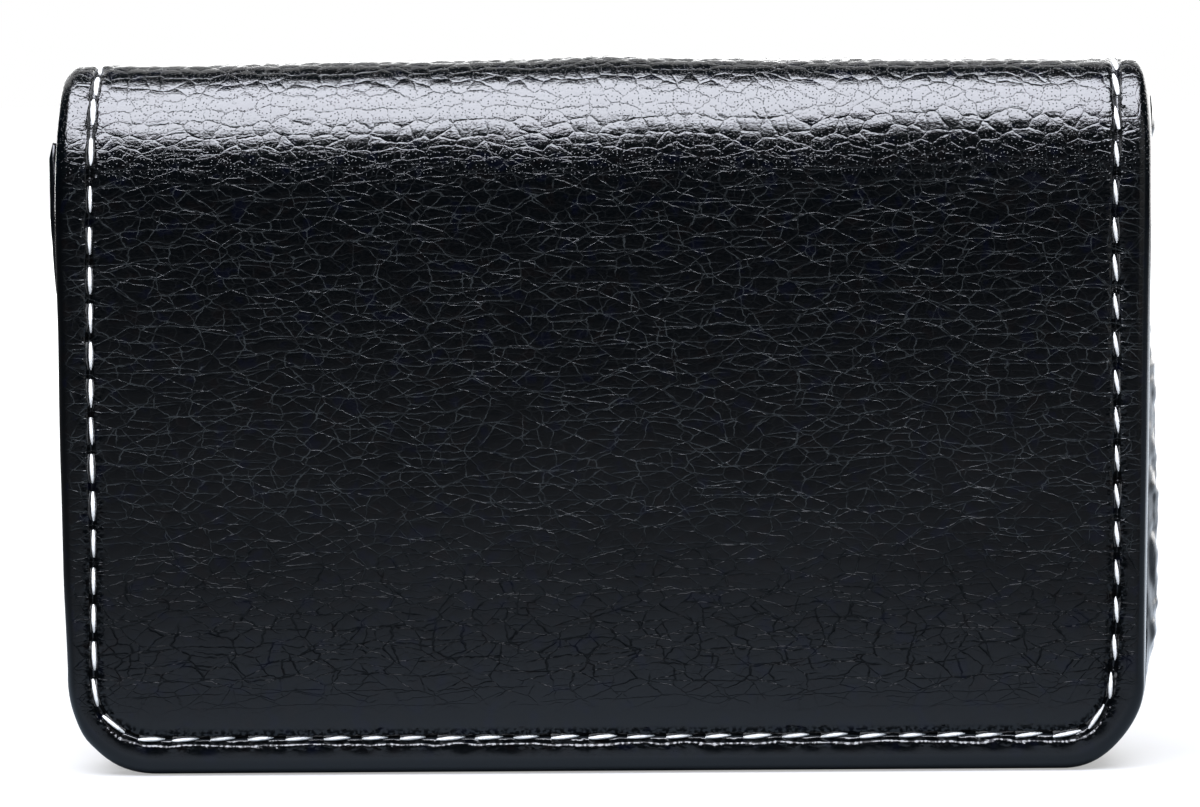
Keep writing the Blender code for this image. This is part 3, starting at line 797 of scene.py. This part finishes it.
steel = speckled(
    "bare steel", (0.42, 0.42, 0.43), (0.58, 0.58, 0.58), 0.38, 900, 0.00001, metallic=1.0, stretch=(1, 8, 1))
print("materials made")


# the cover: leather, padding and lining, each in a front and a rear half that meet at the crown

layers = {
    "crownRow": 0.06,                        # the last row of a grid, so far from the crown
    "padding": (0.72, 1.82, 1.95),           # depth of its top and base, and the inset where it ends
    "paddingValley": (0.40, 0.42, 0.4),      # depth of the soft valley and of the core, and half of the core
    "lining": ((3.28, 0.03, 4, 77), (3.58, 0.05, 5, 71)),   # depth, waves, their length and seed, for each face
    "liningInset": 1.25,
}
frontGrid, rearGrid, layerGrid = [SheetGrid(cell, sheetTop, (layers["crownRow"],)) for cell in (0.45, 0.6, 1.4)]


def onCover(side):
    return lambda x, s, depth: placeOnCover(x, s, depth, side)


def coverHalf(name, grid, side):
    outer = coverRelief(grid, side, 11)
    under = lambda x, s, inset: outer(x, s, inset) + cover["skin"]
    return sheetShell(name, grid, turnedSection(outer), outer, under, onCover(side), leatherette, side)


def layerHalf(name, side, edge, outer, inner, material):
    return sheetShell(name, layerGrid, slabSection(edge, outer, inner), outer, inner, onCover(side), material)


def paddingHalf(name, side):
    topDepth, baseDepth, edge = layers["padding"]
    softDepth, coreDepth, coreHalf = layers["paddingValley"]

    def top(x, s, inset):
        if inset is None:
            return topDepth + 0 * x
        off = inset - cover["seamInset"]
        soft = seam["rim" if off < 0 else "panel"][1]
        valley = softDepth * math.exp(-(off / soft) ** 2) + coreDepth * math.exp(-(off / coreHalf) ** 2)
        return topDepth + 0.9 * valley + 0 * x

    return layerHalf(name, side, edge, top, flatDepth(baseDepth), foam)


def liningHalf(name, side):
    def face(depth, waves, length, seed):
        def depthOf(x, s, inset):
            return depth + waves * latticeNoise(x / length, s / length, seed + side) * easeBetween(s, 57, 50)
        return depthOf

    return layerHalf(name, side, layers["liningInset"], *[face(*values) for values in layers["lining"]], suede)


frontCover = coverHalf("front_cover", frontGrid, -1)
rearCover = coverHalf("rear_cover", rearGrid, 1)
frontPadding = paddingHalf("front_padding", -1)
rearPadding = paddingHalf("rear_padding", 1)
frontLining = liningHalf("front_lining", -1)
rearLining = liningHalf("rear_lining", 1)
print("cover made", [len(o.data.polygons) for o in (frontCover, rearCover, frontPadding, frontLining)])


# stitches, set along a seam line by geometry nodes

stitch = {
    "length": 2.5,
    "radius": 0.23,
    "bow": 0.27,
    "dip": 0.16,
    "sides": 7,
    "steps": 9,
    "swell": (2.80, 0.20, 0.42),     # span and start of the sine that rounds the thread, and its power
    "seat": 0.46,                    # how deep the seam thread lies
    "lean": (1.5, 6.0, 10.0),        # in degrees, down the left side, along the foot and up the right
    "leanParts": (0.30, 0.70),
}


def stitchTree():
    desk, given, end = geometryTree("stitchRun", {
        "Length": "Float", "Thread radius": "Float", "Bow": "Float", "Dip": "Float", "Sides": "Int",
        "Steps": "Int", "Thread": "Material",
    })
    take, joined = desk.take, desk.joined
    # one stitch: a bowed thread that thins where it enters its holes
    sink = given["Dip"] * -1.0
    line = take("Curve", "GeometryNodeCurveQuadraticBezier", {
        "Resolution": given["Steps"],
        "Start": joined(given["Length"] * -0.5, 0.0, sink),
        "Middle": joined(0.0, 0.0, given["Bow"]),
        "End": joined(given["Length"] * 0.5, 0.0, sink),
    })
    span, first, power = stitch["swell"]
    along = take("Factor", "GeometryNodeSplineParameter")
    swell = desk.maths("POWER", desk.maths("SINE", along * span + first), power)
    ring = {"Resolution": given["Sides"], "Radius": given["Thread radius"]}
    profile = take("Curve", "GeometryNodeCurvePrimitiveCircle", ring)
    inputs = {"Curve": line, "Profile Curve": profile, "Scale": swell, "Fill Caps": True}
    tube = take("Mesh", "GeometryNodeCurveToMesh", inputs)

    def stored(label, kind="FLOAT_VECTOR"):
        return take("Attribute", "GeometryNodeInputNamedAttribute", {"Name": label}, data_type=kind)

    # one stitch on each point of the seam line
    inputs = {"Primary Axis": stored("outward"), "Secondary Axis": stored("ahead")}
    facing = take("Rotation", "FunctionNodeAxesToRotation", inputs, primary_axis="Z", secondary_axis="X")
    inputs = {"Axis": (0, 0, 1), "Angle": stored("lean", "FLOAT")}
    inputs = {"Rotation": facing, "Rotate By": take("Rotation", "FunctionNodeAxisAngleToRotation", inputs)}
    leaning = take("Rotation", "FunctionNodeRotateRotation", inputs, rotation_space="LOCAL")
    inputs = {"Points": given["Geometry"], "Instance": tube, "Rotation": leaning, "Scale": stored("girth")}
    placed = take("Instances", "GeometryNodeInstanceOnPoints", inputs)
    real = take("Geometry", "GeometryNodeRealizeInstances", {"Geometry": placed})
    inputs = {"Geometry": real, "Material": given["Thread"]}
    desk.give(end, {"Geometry": take("Geometry", "GeometryNodeSetMaterial", inputs)})
    return desk.tree


stitchNodes = stitchTree()


def stitchRun(name, points, outward, ahead, lean, girth, material, length=stitch["length"]):
    # one stitch on each point becomes one mesh of separate stitches
    mesh = bpy.data.meshes.new(name)
    mesh.from_pydata((np.asarray(points) * mm).tolist(), [], [])
    for label, values in {"outward": outward, "ahead": ahead, "girth": girth, "lean": lean}.items():
        kind, key = ("FLOAT", "value") if label == "lean" else ("FLOAT_VECTOR", "vector")
        field = mesh.attributes.new(label, kind, "POINT")
        field.data.foreach_set(key, np.asarray(values, np.float32).ravel())
    made = bpy.data.objects.new(name, mesh)
    scene.collection.objects.link(made)
    run = made.modifiers.new("stitches", "NODES")
    run.node_group = stitchNodes
    values = {
        "Length": length * mm, "Thread radius": stitch["radius"] * mm, "Bow": stitch["bow"] * mm,
        "Dip": stitch["dip"] * mm, "Sides": stitch["sides"], "Steps": stitch["steps"], "Thread": material,
    }
    for item in stitchNodes.interface.items_tree:
        if item.in_out == "INPUT" and item.name in values:
            run[item.identifier] = values[item.name]
    whole = bpy.data.meshes.new_from_object(evaluatedObject(made))
    made.modifiers.remove(run)
    made.data = whole
    whole.name = name
    whole.shade_smooth()
    return made


def unitRows(vectors):
    return vectors / np.linalg.norm(vectors, axis=1)[:, None]


def coverStitches(name, grid, side, seed):
    x, s = grid.ring(cover["seamInset"])
    run = seamRun(grid)
    at = seamCentres(run[-1])

    def onSeam(shift, deep):
        depth = stitch["seat"] + deep + 0.03 * latticeNoise(at / 5, 0.5, seed)
        return placeOnCover(np.interp(at + shift, run, x), np.interp(at + shift, run, s), depth, side)

    points = onSeam(0, 0)
    outward = unitRows(points - onSeam(0, 0.5))
    ahead = unitRows(onSeam(0.9, 0) - onSeam(-0.9, 0))
    points = points + np.cross(outward, ahead) * (0.07 * latticeNoise(at / 4, 9.5, seed + 2))[:, None]
    part = np.searchsorted(stitch["leanParts"], at / run[-1], side="right")
    turn = np.array(stitch["lean"])[part] + 3.0 * latticeNoise(at / 3.5, 5.5, seed + 1)
    lean = np.radians(turn) * (1 if side < 0 else -1)
    atEnds = easeBetween(np.minimum(at, run[-1] - at), 14, 8)
    thick = 0.88 + 0.10 * latticeNoise(at / 2.9, 1.5, seed + 3) + 0.28 * atEnds
    girth = np.stack([1 + 0.06 * latticeNoise(at / 2.3, 7.5, seed + 4), thick, thick], -1)
    return stitchRun(name, points, outward, ahead, lean, girth, whiteThread)


frontStitches = coverStitches("front_stitching", frontGrid, -1, 5)
rearStitches = coverStitches("rear_stitching", rearGrid, 1, 15)
print("stitches made", len(frontStitches.data.polygons), len(rearStitches.data.polygons))


# the gusset: a folded strip round three sides of the pocket

gusset = {
    "top": 55.2,
    "inset": 0.6,
    "radius": 7.6,
    "flange": 4.0,
    "wall": 0.5,
    "front": -1.62,
    "back": 3.52,
    "arch": (2.3, 6.0),        # the fold stands higher than its glued flanges, on the left and on the right
    "archFrom": 42,
    "mouthDrop": 4.4,          # the front flange ends at the pocket's mouth
    "mouthFrom": 36,
    "footSwell": 0.1,
    # how far out the fold reaches at each height
    "left": (
        (0, 49.1), (10, 49.1), (17, 49.4), (38, 49.6), (41, 49.8), (42.8, 50.08), (44.2, 50.3), (46, 50.45),
        (49.3, 50.64), (51, 50.73), (53, 50.8), (56, 50.8), (57.6, 50.4),
    ),
    "right": (
        (0, 49.6), (7.6, 49.7), (9.4, 50.2), (11.5, 50.7), (13, 50.88), (23.5, 50.88), (29, 50.76),
        (36.4, 50.55), (40, 50.2), (43, 49.9), (54.5, 49.9), (56.5, 50.2), (58.5, 50.6), (60, 50.55),
        (61.4, 50.2),
    ),
    # the way out across the fold: share of its width, share of its reach
    "leftFold": ((0, 0), (0.05, 0.52), (0.26, 0.62), (0.40, 0.97), (0.50, 1.0), (0.62, 0.98), (0.85, 0.7), (1, 0)),
    "rightFold": ((0, 0), (0.03, 0.08), (0.20, 0.46), (0.36, 0.8), (0.50, 1.0), (0.66, 0.95), (0.85, 0.6), (1, 0)),
    # shares across the fold at which it has a row of points
    "rows": (
        0.02, 0.05, 0.09, 0.13, 0.17, 0.21, 0.25, 0.28, 0.31, 0.34, 0.37, 0.4, 0.43, 0.46, 0.5, 0.54, 0.58,
        0.63, 0.68, 0.74, 0.8, 0.86, 0.92, 0.97, 1.0,
    ),
}


def gussetLine():
    # down the left side, along the foot and up the right: places, ways out and runs
    inset, radius = gusset["inset"], gusset["radius"]
    half = cover["halfWidth"] - inset
    straight, arc, foot = gusset["top"] - radius - inset, math.pi / 2 * radius, 2 * (half - radius)
    whole = 2 * straight + 2 * arc + foot
    down = np.concatenate([np.linspace(0, straight, 150), straight + np.linspace(0, arc, 24)[1:]])
    runs = np.concatenate([down, straight + arc + np.linspace(0, foot, 120)[1:], (whole - down)[::-1][1:]])
    flip = np.where(runs > whole / 2, -1, 1)
    r = np.where(flip < 0, whole - runs, runs)
    turn = np.clip((r - straight) / radius, 0, math.pi / 2)
    outs = np.stack([-np.cos(turn), -np.sin(turn)], -1)
    beyond = np.stack([np.maximum(r - straight - arc, 0), np.maximum(straight - r, 0)], -1)
    centre = (radius - half, radius + inset) + radius * outs + beyond
    centre[:, 0] *= flip
    outs[:, 0] *= flip
    return centre, outs, runs


def gussetStrip(name):
    centre, outs, runs = gussetLine()
    half, top = cover["halfWidth"] - gusset["inset"], gusset["top"]
    onSide = np.clip(np.abs(outs[:, 0]), 0, 1) ** 3
    isLeft = centre[:, 0] < 0
    flange = np.linspace(0, 1, 5)
    # one row for each share of the width; t runs across the fold
    shares = np.concatenate([flange, 1 + np.array(gusset["rows"]), 2 + flange[1:]])[:, None]
    t = np.clip(shares - 1, 0, 1)
    swell = np.sin(math.pi * t)

    def sided(value, left, right):
        return np.where(isLeft, *[np.interp(value, *zip(*gusset[label])) for label in (left, right)])

    def upwards(label):
        return easeBetween(centre[:, 1], gusset[label], top) * onSide

    raised = np.where(isLeft, *gusset["arch"]) * swell ** 1.3 * upwards("archFrom")
    raised = raised - gusset["mouthDrop"] * np.maximum(1 - t / 0.35, 0) * upwards("mouthFrom")
    reach = sided(centre[:, 1] + raised, "left", "right") - half - gusset["wall"] / 2
    folds = 0.16 * latticeNoise(runs / 1.9 + 2.2 * t, 3 * t, 33)
    folds = folds + 0.10 * latticeNoise(runs / 0.8 - 1.6 * t, 4 * t, 34)
    out = reach * sided(t, "leftFold", "rightFold") + folds * swell * np.where(isLeft, 0.35, 1.0)
    out = out * onSide + gusset["footSwell"] * swell * (1 - onSide)
    out = out - gusset["flange"] * np.maximum(np.maximum(1 - shares, shares - 2), 0)
    x, z = [centre[:, axis] + outs[:, axis] * out for axis in (0, 1)]
    y = gusset["front"] + (gusset["back"] - gusset["front"]) * t
    middle = np.stack([x, y + 0 * x, np.maximum(z + raised, 0.3)], -1)
    uv = np.stack([runs + 0 * x, shares * 4.0 + 0 * x], -1).reshape(-1, 2)
    normal = np.cross(np.gradient(middle, axis=1), np.gradient(middle, axis=0))
    normal /= np.linalg.norm(normal, axis=2)[:, :, None]
    if normal[len(shares) // 2, 10, 0] > 0:
        normal = -normal
    points = np.array([middle + normal * gusset["wall"] / 2, middle - normal * gusset["wall"] / 2])
    points[..., 2] = np.maximum(points[..., 2], 0.02)
    outer, inner = np.arange(points[..., 0].size).reshape(points.shape[:3])
    faces = []
    for row in range(len(shares) - 1):
        faces += band(outer[row], outer[row + 1]) + turned(band(inner[row], inner[row + 1]))
    faces += turned(band(outer[0], inner[0])) + band(outer[-1], inner[-1])
    faces += band(outer[:, 0], inner[:, 0]) + turned(band(outer[:, -1], inner[:, -1]))
    return meshObject(name, points.reshape(-1, 3), faces, gussetLeather, np.vstack([uv, uv]))


sideGusset = gussetStrip("side_gusset")
print("gusset made")


# the pocket front: a turned-edge panel with a thumb notch, its lining and its seam

pocket = {
    "half": 49.2,
    "height": 50.9,
    "radius": 7.8,
    "face": 2.5,
    "notchRadius": 11.0,
    "notchDepth": 7.0,
    "shoulder": 1.6,
    "lip": 0.7,
    "cornerSteps": 12,
    "sideSteps": 58,
    "footSteps": 48,
    "thick": 0.55,
    "turn": 0.55,               # inset at which the turned edge begins
    "seamInset": 2.9,
    "seamDepth": 0.15,
    "seamSkip": 10,             # points at each top corner that the seam leaves out
    "stitchLength": 2.3,
    "faceRings": (8, 6, 4.6, 3.9, 3.5, 3.2, 3.0, 2.9, 2.8, 2.6, 2.3, 1.9, 1.4, 0.9),
    "backRings": (1.4, 3, 5, 8),
    # the lining's rings: inset within its own edge, and depth
    "liningEdge": 0.9,
    "lining": (
        (6, 1.3), (3, 1.3), (1, 1.3), (0.2, 1.31), (0.05, 1.36), (0, 1.42), (0.05, 1.48), (0.2, 1.54),
        (1, 1.55), (3, 1.55), (6, 1.55),
    ),
}


def pocketOutline(inset):
    # a closed outline with the thumb notch in its top edge, alike point by point at every inset
    half, top = pocket["half"] - inset, pocket["height"] - inset
    foot, shoulder = max(pocket["radius"] - inset, 0.4), max(pocket["shoulder"] - inset, 0.3)
    notch = pocket["notchRadius"] + inset
    quarter = np.linspace(0, math.pi / 2, pocket["cornerSteps"])
    sine, cosine = np.sin(quarter), np.cos(quarter)
    side = np.linspace(top - shoulder, foot + inset, pocket["sideSteps"] + 2)[1:-1]
    base = np.linspace(-half + foot, 0, pocket["footSteps"] + 2)[1:-1]
    x = np.concatenate([-half + shoulder - shoulder * sine, 0 * side - half, -half + foot - foot * cosine, base])
    z = np.concatenate([top - shoulder + shoulder * cosine, side, inset + foot - foot * sine, 0 * base + inset])
    lip = notch + 1.0
    across = np.concatenate([
        np.linspace(half - shoulder, lip, 26)[1:], np.linspace(lip, -lip, 90)[1:],
        np.linspace(-lip, -half + shoulder, 26)[1:-1],
    ])
    sink = np.sqrt(np.clip(notch ** 2 - across ** 2, 0, None)) - (notch - pocket["notchDepth"])
    sag = (sink + np.sqrt(sink ** 2 + pocket["lip"] ** 2)) / 2
    sag = sag * easeBetween(np.abs(across), lip + 4, lip - 1)
    return np.stack([np.concatenate([x, -x[::-1], across]), np.concatenate([z, z[::-1], top - sag])], -1)


def pocketPlace(x, s, depth):
    return np.stack([x, -pocket["face"] + depth, s + 0.02], -1)


def pocketPanel(name, section, material):
    # rings from the outline inwards, closed in front and at the back with an even fill
    points, uv, rings, faces = [], [], [], []
    for inset, depth, mark in section:
        outline = pocketOutline(inset)
        points.append(pocketPlace(outline[:, 0], outline[:, 1], depth + 0 * outline[:, 0]))
        uv.append(pocketOutline(mark))
        rings.append(np.arange(len(outline)) + len(rings) * len(outline))
    for first, second in zip(rings[:-1], rings[1:]):
        faces += band(first, second, closed=True)
    made = meshObject(name, np.vstack(points), faces, material, np.vstack(uv))
    work = bmesh.new()
    work.from_mesh(made.data)
    bmesh.ops.holes_fill(work, edges=[e for e in work.edges if len(e.link_faces) == 1], sides=0)
    bmesh.ops.triangulate(work, faces=[f for f in work.faces if len(f.verts) > 4])
    bmesh.ops.recalc_face_normals(work, faces=work.faces)
    work.to_mesh(made.data)
    work.free()
    made.data.shade_smooth()
    return made


def pocketSection(back=pocket["thick"], turn=pocket["turn"]):
    rows = []
    for inset in pocket["faceRings"]:
        rows.append((inset, pocket["seamDepth"] * math.exp(-((inset - pocket["seamInset"]) / 0.5) ** 2), inset))
    for angle in math.pi * np.arange(9) / 8:
        rows.append((turn - turn * math.sin(angle), back / 2 - back / 2 * math.cos(angle), turn - 0.5 * angle))
    return rows + [(inset, back, -1.0 - inset) for inset in pocket["backRings"]]


pocketFront = pocketPanel("pocket_front", pocketSection(), leatherInside)
liningSection = [(inset + pocket["liningEdge"], depth, inset) for inset, depth in pocket["lining"]]
pocketLining = pocketPanel("pocket_front_lining", liningSection, suede)


def pocketSeam(name):
    # the seam runs down one side, along the foot and up the other
    leg = 2 * pocket["cornerSteps"] + pocket["sideSteps"] + pocket["footSteps"]
    line = pocketOutline(pocket["seamInset"])[pocket["seamSkip"]:2 * leg - pocket["seamSkip"]]
    run = np.concatenate([[0], np.cumsum(np.hypot(*np.diff(line, axis=0).T))])
    count = int(run[-1] / cover["stitchPitch"])
    stops = (np.arange(count) + 0.5) * run[-1] / count
    x, s = [np.interp(stops, run, line[:, axis]) for axis in (0, 1)]
    points = pocketPlace(x, s, 0.06 + 0 * x)
    outward, girth = np.tile([0, -1, 0], (count, 1)), np.tile([1.0, 0.8, 0.8], (count, 1))
    lean = np.full(count, math.radians(4))
    ahead = unitRows(np.gradient(points, axis=0))
    return stitchRun(name, points, outward, ahead, lean, girth, blackThread, length=pocket["stitchLength"])


pocketStitches = pocketSeam("pocket_stitching")
print("pocket made")


# the slip pocket inside the flap

slip = {
    "foot": 1.6,
    "top": 40.0,
    "half": 48.6,
    "radius": 6.6,
    "reach": 7.0,
    "depth": 3.72,
    "slot": 0.6,
    "sewn": 3.9,
    "leaf": 0.4,
    "seam": (0.08, 2.4, 0.5),     # depth, inset and half width of the sewn line
    "fold": 0.24,                 # the mouth is folded over once
    "mouthRows": (0.05, 0.14, 0.3, 0.6, 1.0, 1.8, 2.6, 3.4, 4.2, 4.8, 5.1, 5.4),
}
slipGrid = SheetGrid(
    1.3, slip["top"], slip["mouthRows"], foot=slip["foot"], half=slip["half"], radius=slip["radius"],
    reach=slip["reach"], zone=22.0)


def slipDepth(x, s, inset):
    ramp, dent = 1.0, 0.0
    if inset is not None:
        deep, middle, half = slip["seam"]
        ramp = easeBetween(inset, slip["sewn"] - 0.8, slip["sewn"] + 0.9)
        dent = deep * math.exp(-((inset - middle) / half) ** 2)
    return slip["depth"] + slip["slot"] * ramp + 0.07 * latticeNoise(x / 14, s / 9, 61) * ramp - dent


def slipFace(x, s, inset):
    # the last few millimetres at the mouth are thicker, and rounded at the lip
    fold = slip["fold"] * easeBetween(slip["top"] - s, 5.4, 4.8)
    lip = np.sqrt(np.clip(1 - (1 - np.clip((slip["top"] - s) / 0.35, 0, 1)) ** 2, 0.02, 1))
    return slipDepth(x, s, inset) + 0.04 + (slip["leaf"] - 0.04 + fold) * lip


slipPocket = sheetShell(
    "flap_slip_pocket", slipGrid, slabSection(0.0, slipDepth, slipFace, reach=slip["reach"], steps=12),
    slipDepth, slipFace, lambda x, s, depth: np.stack([x, -(cover["outerFace"] - depth), s], -1), leatherInside)
print("slip pocket made")


# who rides on what, and what each piece stands for

for piece in (frontCover, frontPadding, frontLining, frontStitches):
    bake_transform(piece)
for piece in (rearCover, rearPadding, rearLining, rearStitches):
    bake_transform(piece)
for piece in (sideGusset, pocketFront, pocketLining, pocketStitches):
    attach(piece, "case")
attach(slipPocket, "flap")

for piece, slotName, *nodes in (
    (frontCover, "leatherette", "flap_skin", "spine_skin"),
    (rearCover, "leatherette", "back_skin"),
    (frontPadding, "foam", "flap_foam", "spine_foam"),
    (rearPadding, "foam", "back_foam"),
    (frontLining, "lining", "flap_lining", "spine_lining"),
    (rearLining, "lining", "back_lining"),
    (frontStitches, "thread", "flap_thread", "spine_thread_left", "spine_thread_right"),
    (rearStitches, "thread", "back_thread"),
    (sideGusset, "leatherette", "gusset"),
    (pocketFront, "leatherette", "pocket_skin"),
    (pocketLining, "lining", "pocket_lining"),
    (pocketStitches, "thread", "pocket_thread"),
    (slipPocket, "leatherette", "slip_pocket"),
):
    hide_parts(*nodes)

finishes = {
    "flap_board": greyboard, "back_board": greyboard, "pocket_board": greyboard, "magnet": nickel, "keeper": steel,
}
for name, finish in finishes.items():
    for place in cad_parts[name].material_slots:
        place.material = finish
print("pieces joined to their bodies")


# stage, lights and camera, in metres

studio = {
    "floorSize": 3.0,
    "floorRings": (40, 96),
    "aim": (-0.00015, -0.0075, 0.0338),
    "distance": 0.5467,
    "elevation": math.radians(4),
    "roll": math.radians(-0.36),
    "lens": 181.0,
    "floorNear": (0.02, 0.10),       # distance from the middle and tone
    "floorFar": (0.25, 0.003),
    "floorSeen": (0.22, 0.42),       # tone and glow of the sweep that the camera sees
    "glowRise": (0.10, 0.60),        # where the glow grows to its whole strength
    "rightLine": ((1, 0, 0), 0.03, 0.05),
    "sideReach": (0.75, 0.95),
    "flankLine": ((1, 1.7, 0), 0.03, 0.06),      # the floor on the right, which the rim mirrors
    "flankTone": 0.07,
    "behindLine": ((-0.62, 1, 0), -0.03, 0.0),   # and behind on the right, which silvers the gusset
    "behindFloor": (0.25, 0.7),      # its tone and glow
    "leatherTint": (-0.20, 0.0, 0.18),
    "worldTone": (0.006, 0.012, 0.018, 1),
}
softboxes = {
    "top softbox": ((-0.12, -0.49, 0.91), (0, 0, 0.06), (1.5, 1.05), 61, (0.88, 0.905, 1.0)),
    "rear softbox": ((0, 0.95, 0.64), (0, 0, 0.06), (1.8, 0.90), 4.5, (1, 1, 1)),
    "back wall light": ((0.35, 1.1, 0.25), (0, 0, 0.06), (1.8, 0.6), 14, (1, 1, 1)),
    "right fill": ((0.9, -0.75, 0.2), (0.05, 0, 0.04), (0.9, 0.7), 0.7, (1, 1, 1)),
}


def floorMaterial():
    # the camera sees a white sweep; to the leather it is bright near the object and dark further out
    material, desk, shader = newMaterial("pale floor", (0.5, 0.5, 0.5), 0.7, 0.2)
    seen = desk.take("Is Camera Ray", "ShaderNodeLightPath")
    unseen = 1.0 - seen
    where = desk.take("Object", "ShaderNodeTexCoord")
    away = desk.maths("LENGTH", where)
    (nearReach, nearTone), (farReach, farTone) = studio["floorNear"], studio["floorFar"]
    near = desk.ease(desk.maths("POWER", away, 0.5), nearReach ** 0.5, farReach ** 0.5, nearTone, farTone)

    def beyond(label):
        line, low, high = studio[label]
        return desk.ease(where @ line, low, high)

    onRight = beyond("rightLine") * desk.ease(away, *studio["sideReach"], 1.0, 0.0)
    behind = onRight * beyond("behindLine")
    near = desk.maths("MAXIMUM", near, beyond("flankLine") * onRight * studio["flankTone"])
    level = seen * studio["floorSeen"][0] + unseen * desk.maths("MAXIMUM", near, behind * studio["behindFloor"][0])
    tint = desk.joined(unseen, unseen, unseen) * studio["leatherTint"] + (1, 1, 1)
    glow = desk.ease(away, *studio["glowRise"], studio["floorSeen"][1], 1.0)
    desk.give(shader, {
        "Base Color": desk.joined(level, level, level) * tint,
        "Emission Color": (1, 1, 1, 1),
        "Emission Strength": glow * seen + behind * studio["behindFloor"][1] * unseen,
    })
    return material


def stageFloor():
    ringCount, turns = studio["floorRings"]
    directions = [(math.cos(2 * math.pi * t / turns), math.sin(2 * math.pi * t / turns)) for t in range(turns)]
    points = [(0, 0, 0)]
    for ring in range(1, ringCount + 1):
        radius = studio["floorSize"] * (ring / ringCount) ** 1.6
        points += [(radius * x, radius * y, 0) for x, y in directions]
    rings = 1 + np.arange(ringCount * turns).reshape(ringCount, turns)
    faces = [(0, first, second) for first, second in zip(rings[0].tolist(), np.roll(rings[0], -1).tolist())]
    for first, second in zip(rings[:-1], rings[1:]):
        faces += turned(band(first, second, closed=True))
    floor = meshObject("stage_floor", np.array(points) / mm, faces, floorMaterial())


def softbox(name, place, aim, size, power, tint):
    light = bpy.data.lights.new(name, "AREA")
    light.shape = "RECTANGLE"
    light.size, light.size_y = size
    light.energy, light.color = power, tint
    lamp = bpy.data.objects.new(name, light)
    lamp.location = place
    lamp.rotation_euler = (Vector(aim) - Vector(place)).to_track_quat("-Z", "Y").to_euler()
    lamp.visible_camera = False
    scene.collection.objects.link(lamp)


stageFloor()
for name, settings in softboxes.items():
    softbox(name, *settings)

world = bpy.data.worlds.new("studio")
scene.world = world
world.use_nodes = True
desk = NodeDesk(world.node_tree)
backdrop = next(n for n in world.node_tree.nodes if n.type == "BACKGROUND")
tones = {"Factor": desk.take("Is Camera Ray", "ShaderNodeLightPath"), 6: studio["worldTone"], 7: (1, 1, 1, 1)}
desk.give(backdrop, {"Color": desk.take(2, "ShaderNodeMix", tones, data_type="RGBA")})

lens = bpy.data.cameras.new("camera")
lens.lens = studio["lens"]
lens.sensor_width = 36
lens.clip_start, lens.clip_end = 0.01, 50
camera = bpy.data.objects.new("camera", lens)
scene.collection.objects.link(camera)
aim, distance, tilt = studio["aim"], studio["distance"], studio["elevation"]
camera.location = (aim[0], aim[1] - distance * math.cos(tilt), aim[2] + distance * math.sin(tilt))
camera.rotation_euler = (math.pi / 2 - tilt, -studio["roll"], 0)
scene.camera = camera
scene.view_settings.view_transform = "Standard"
print("studio made")
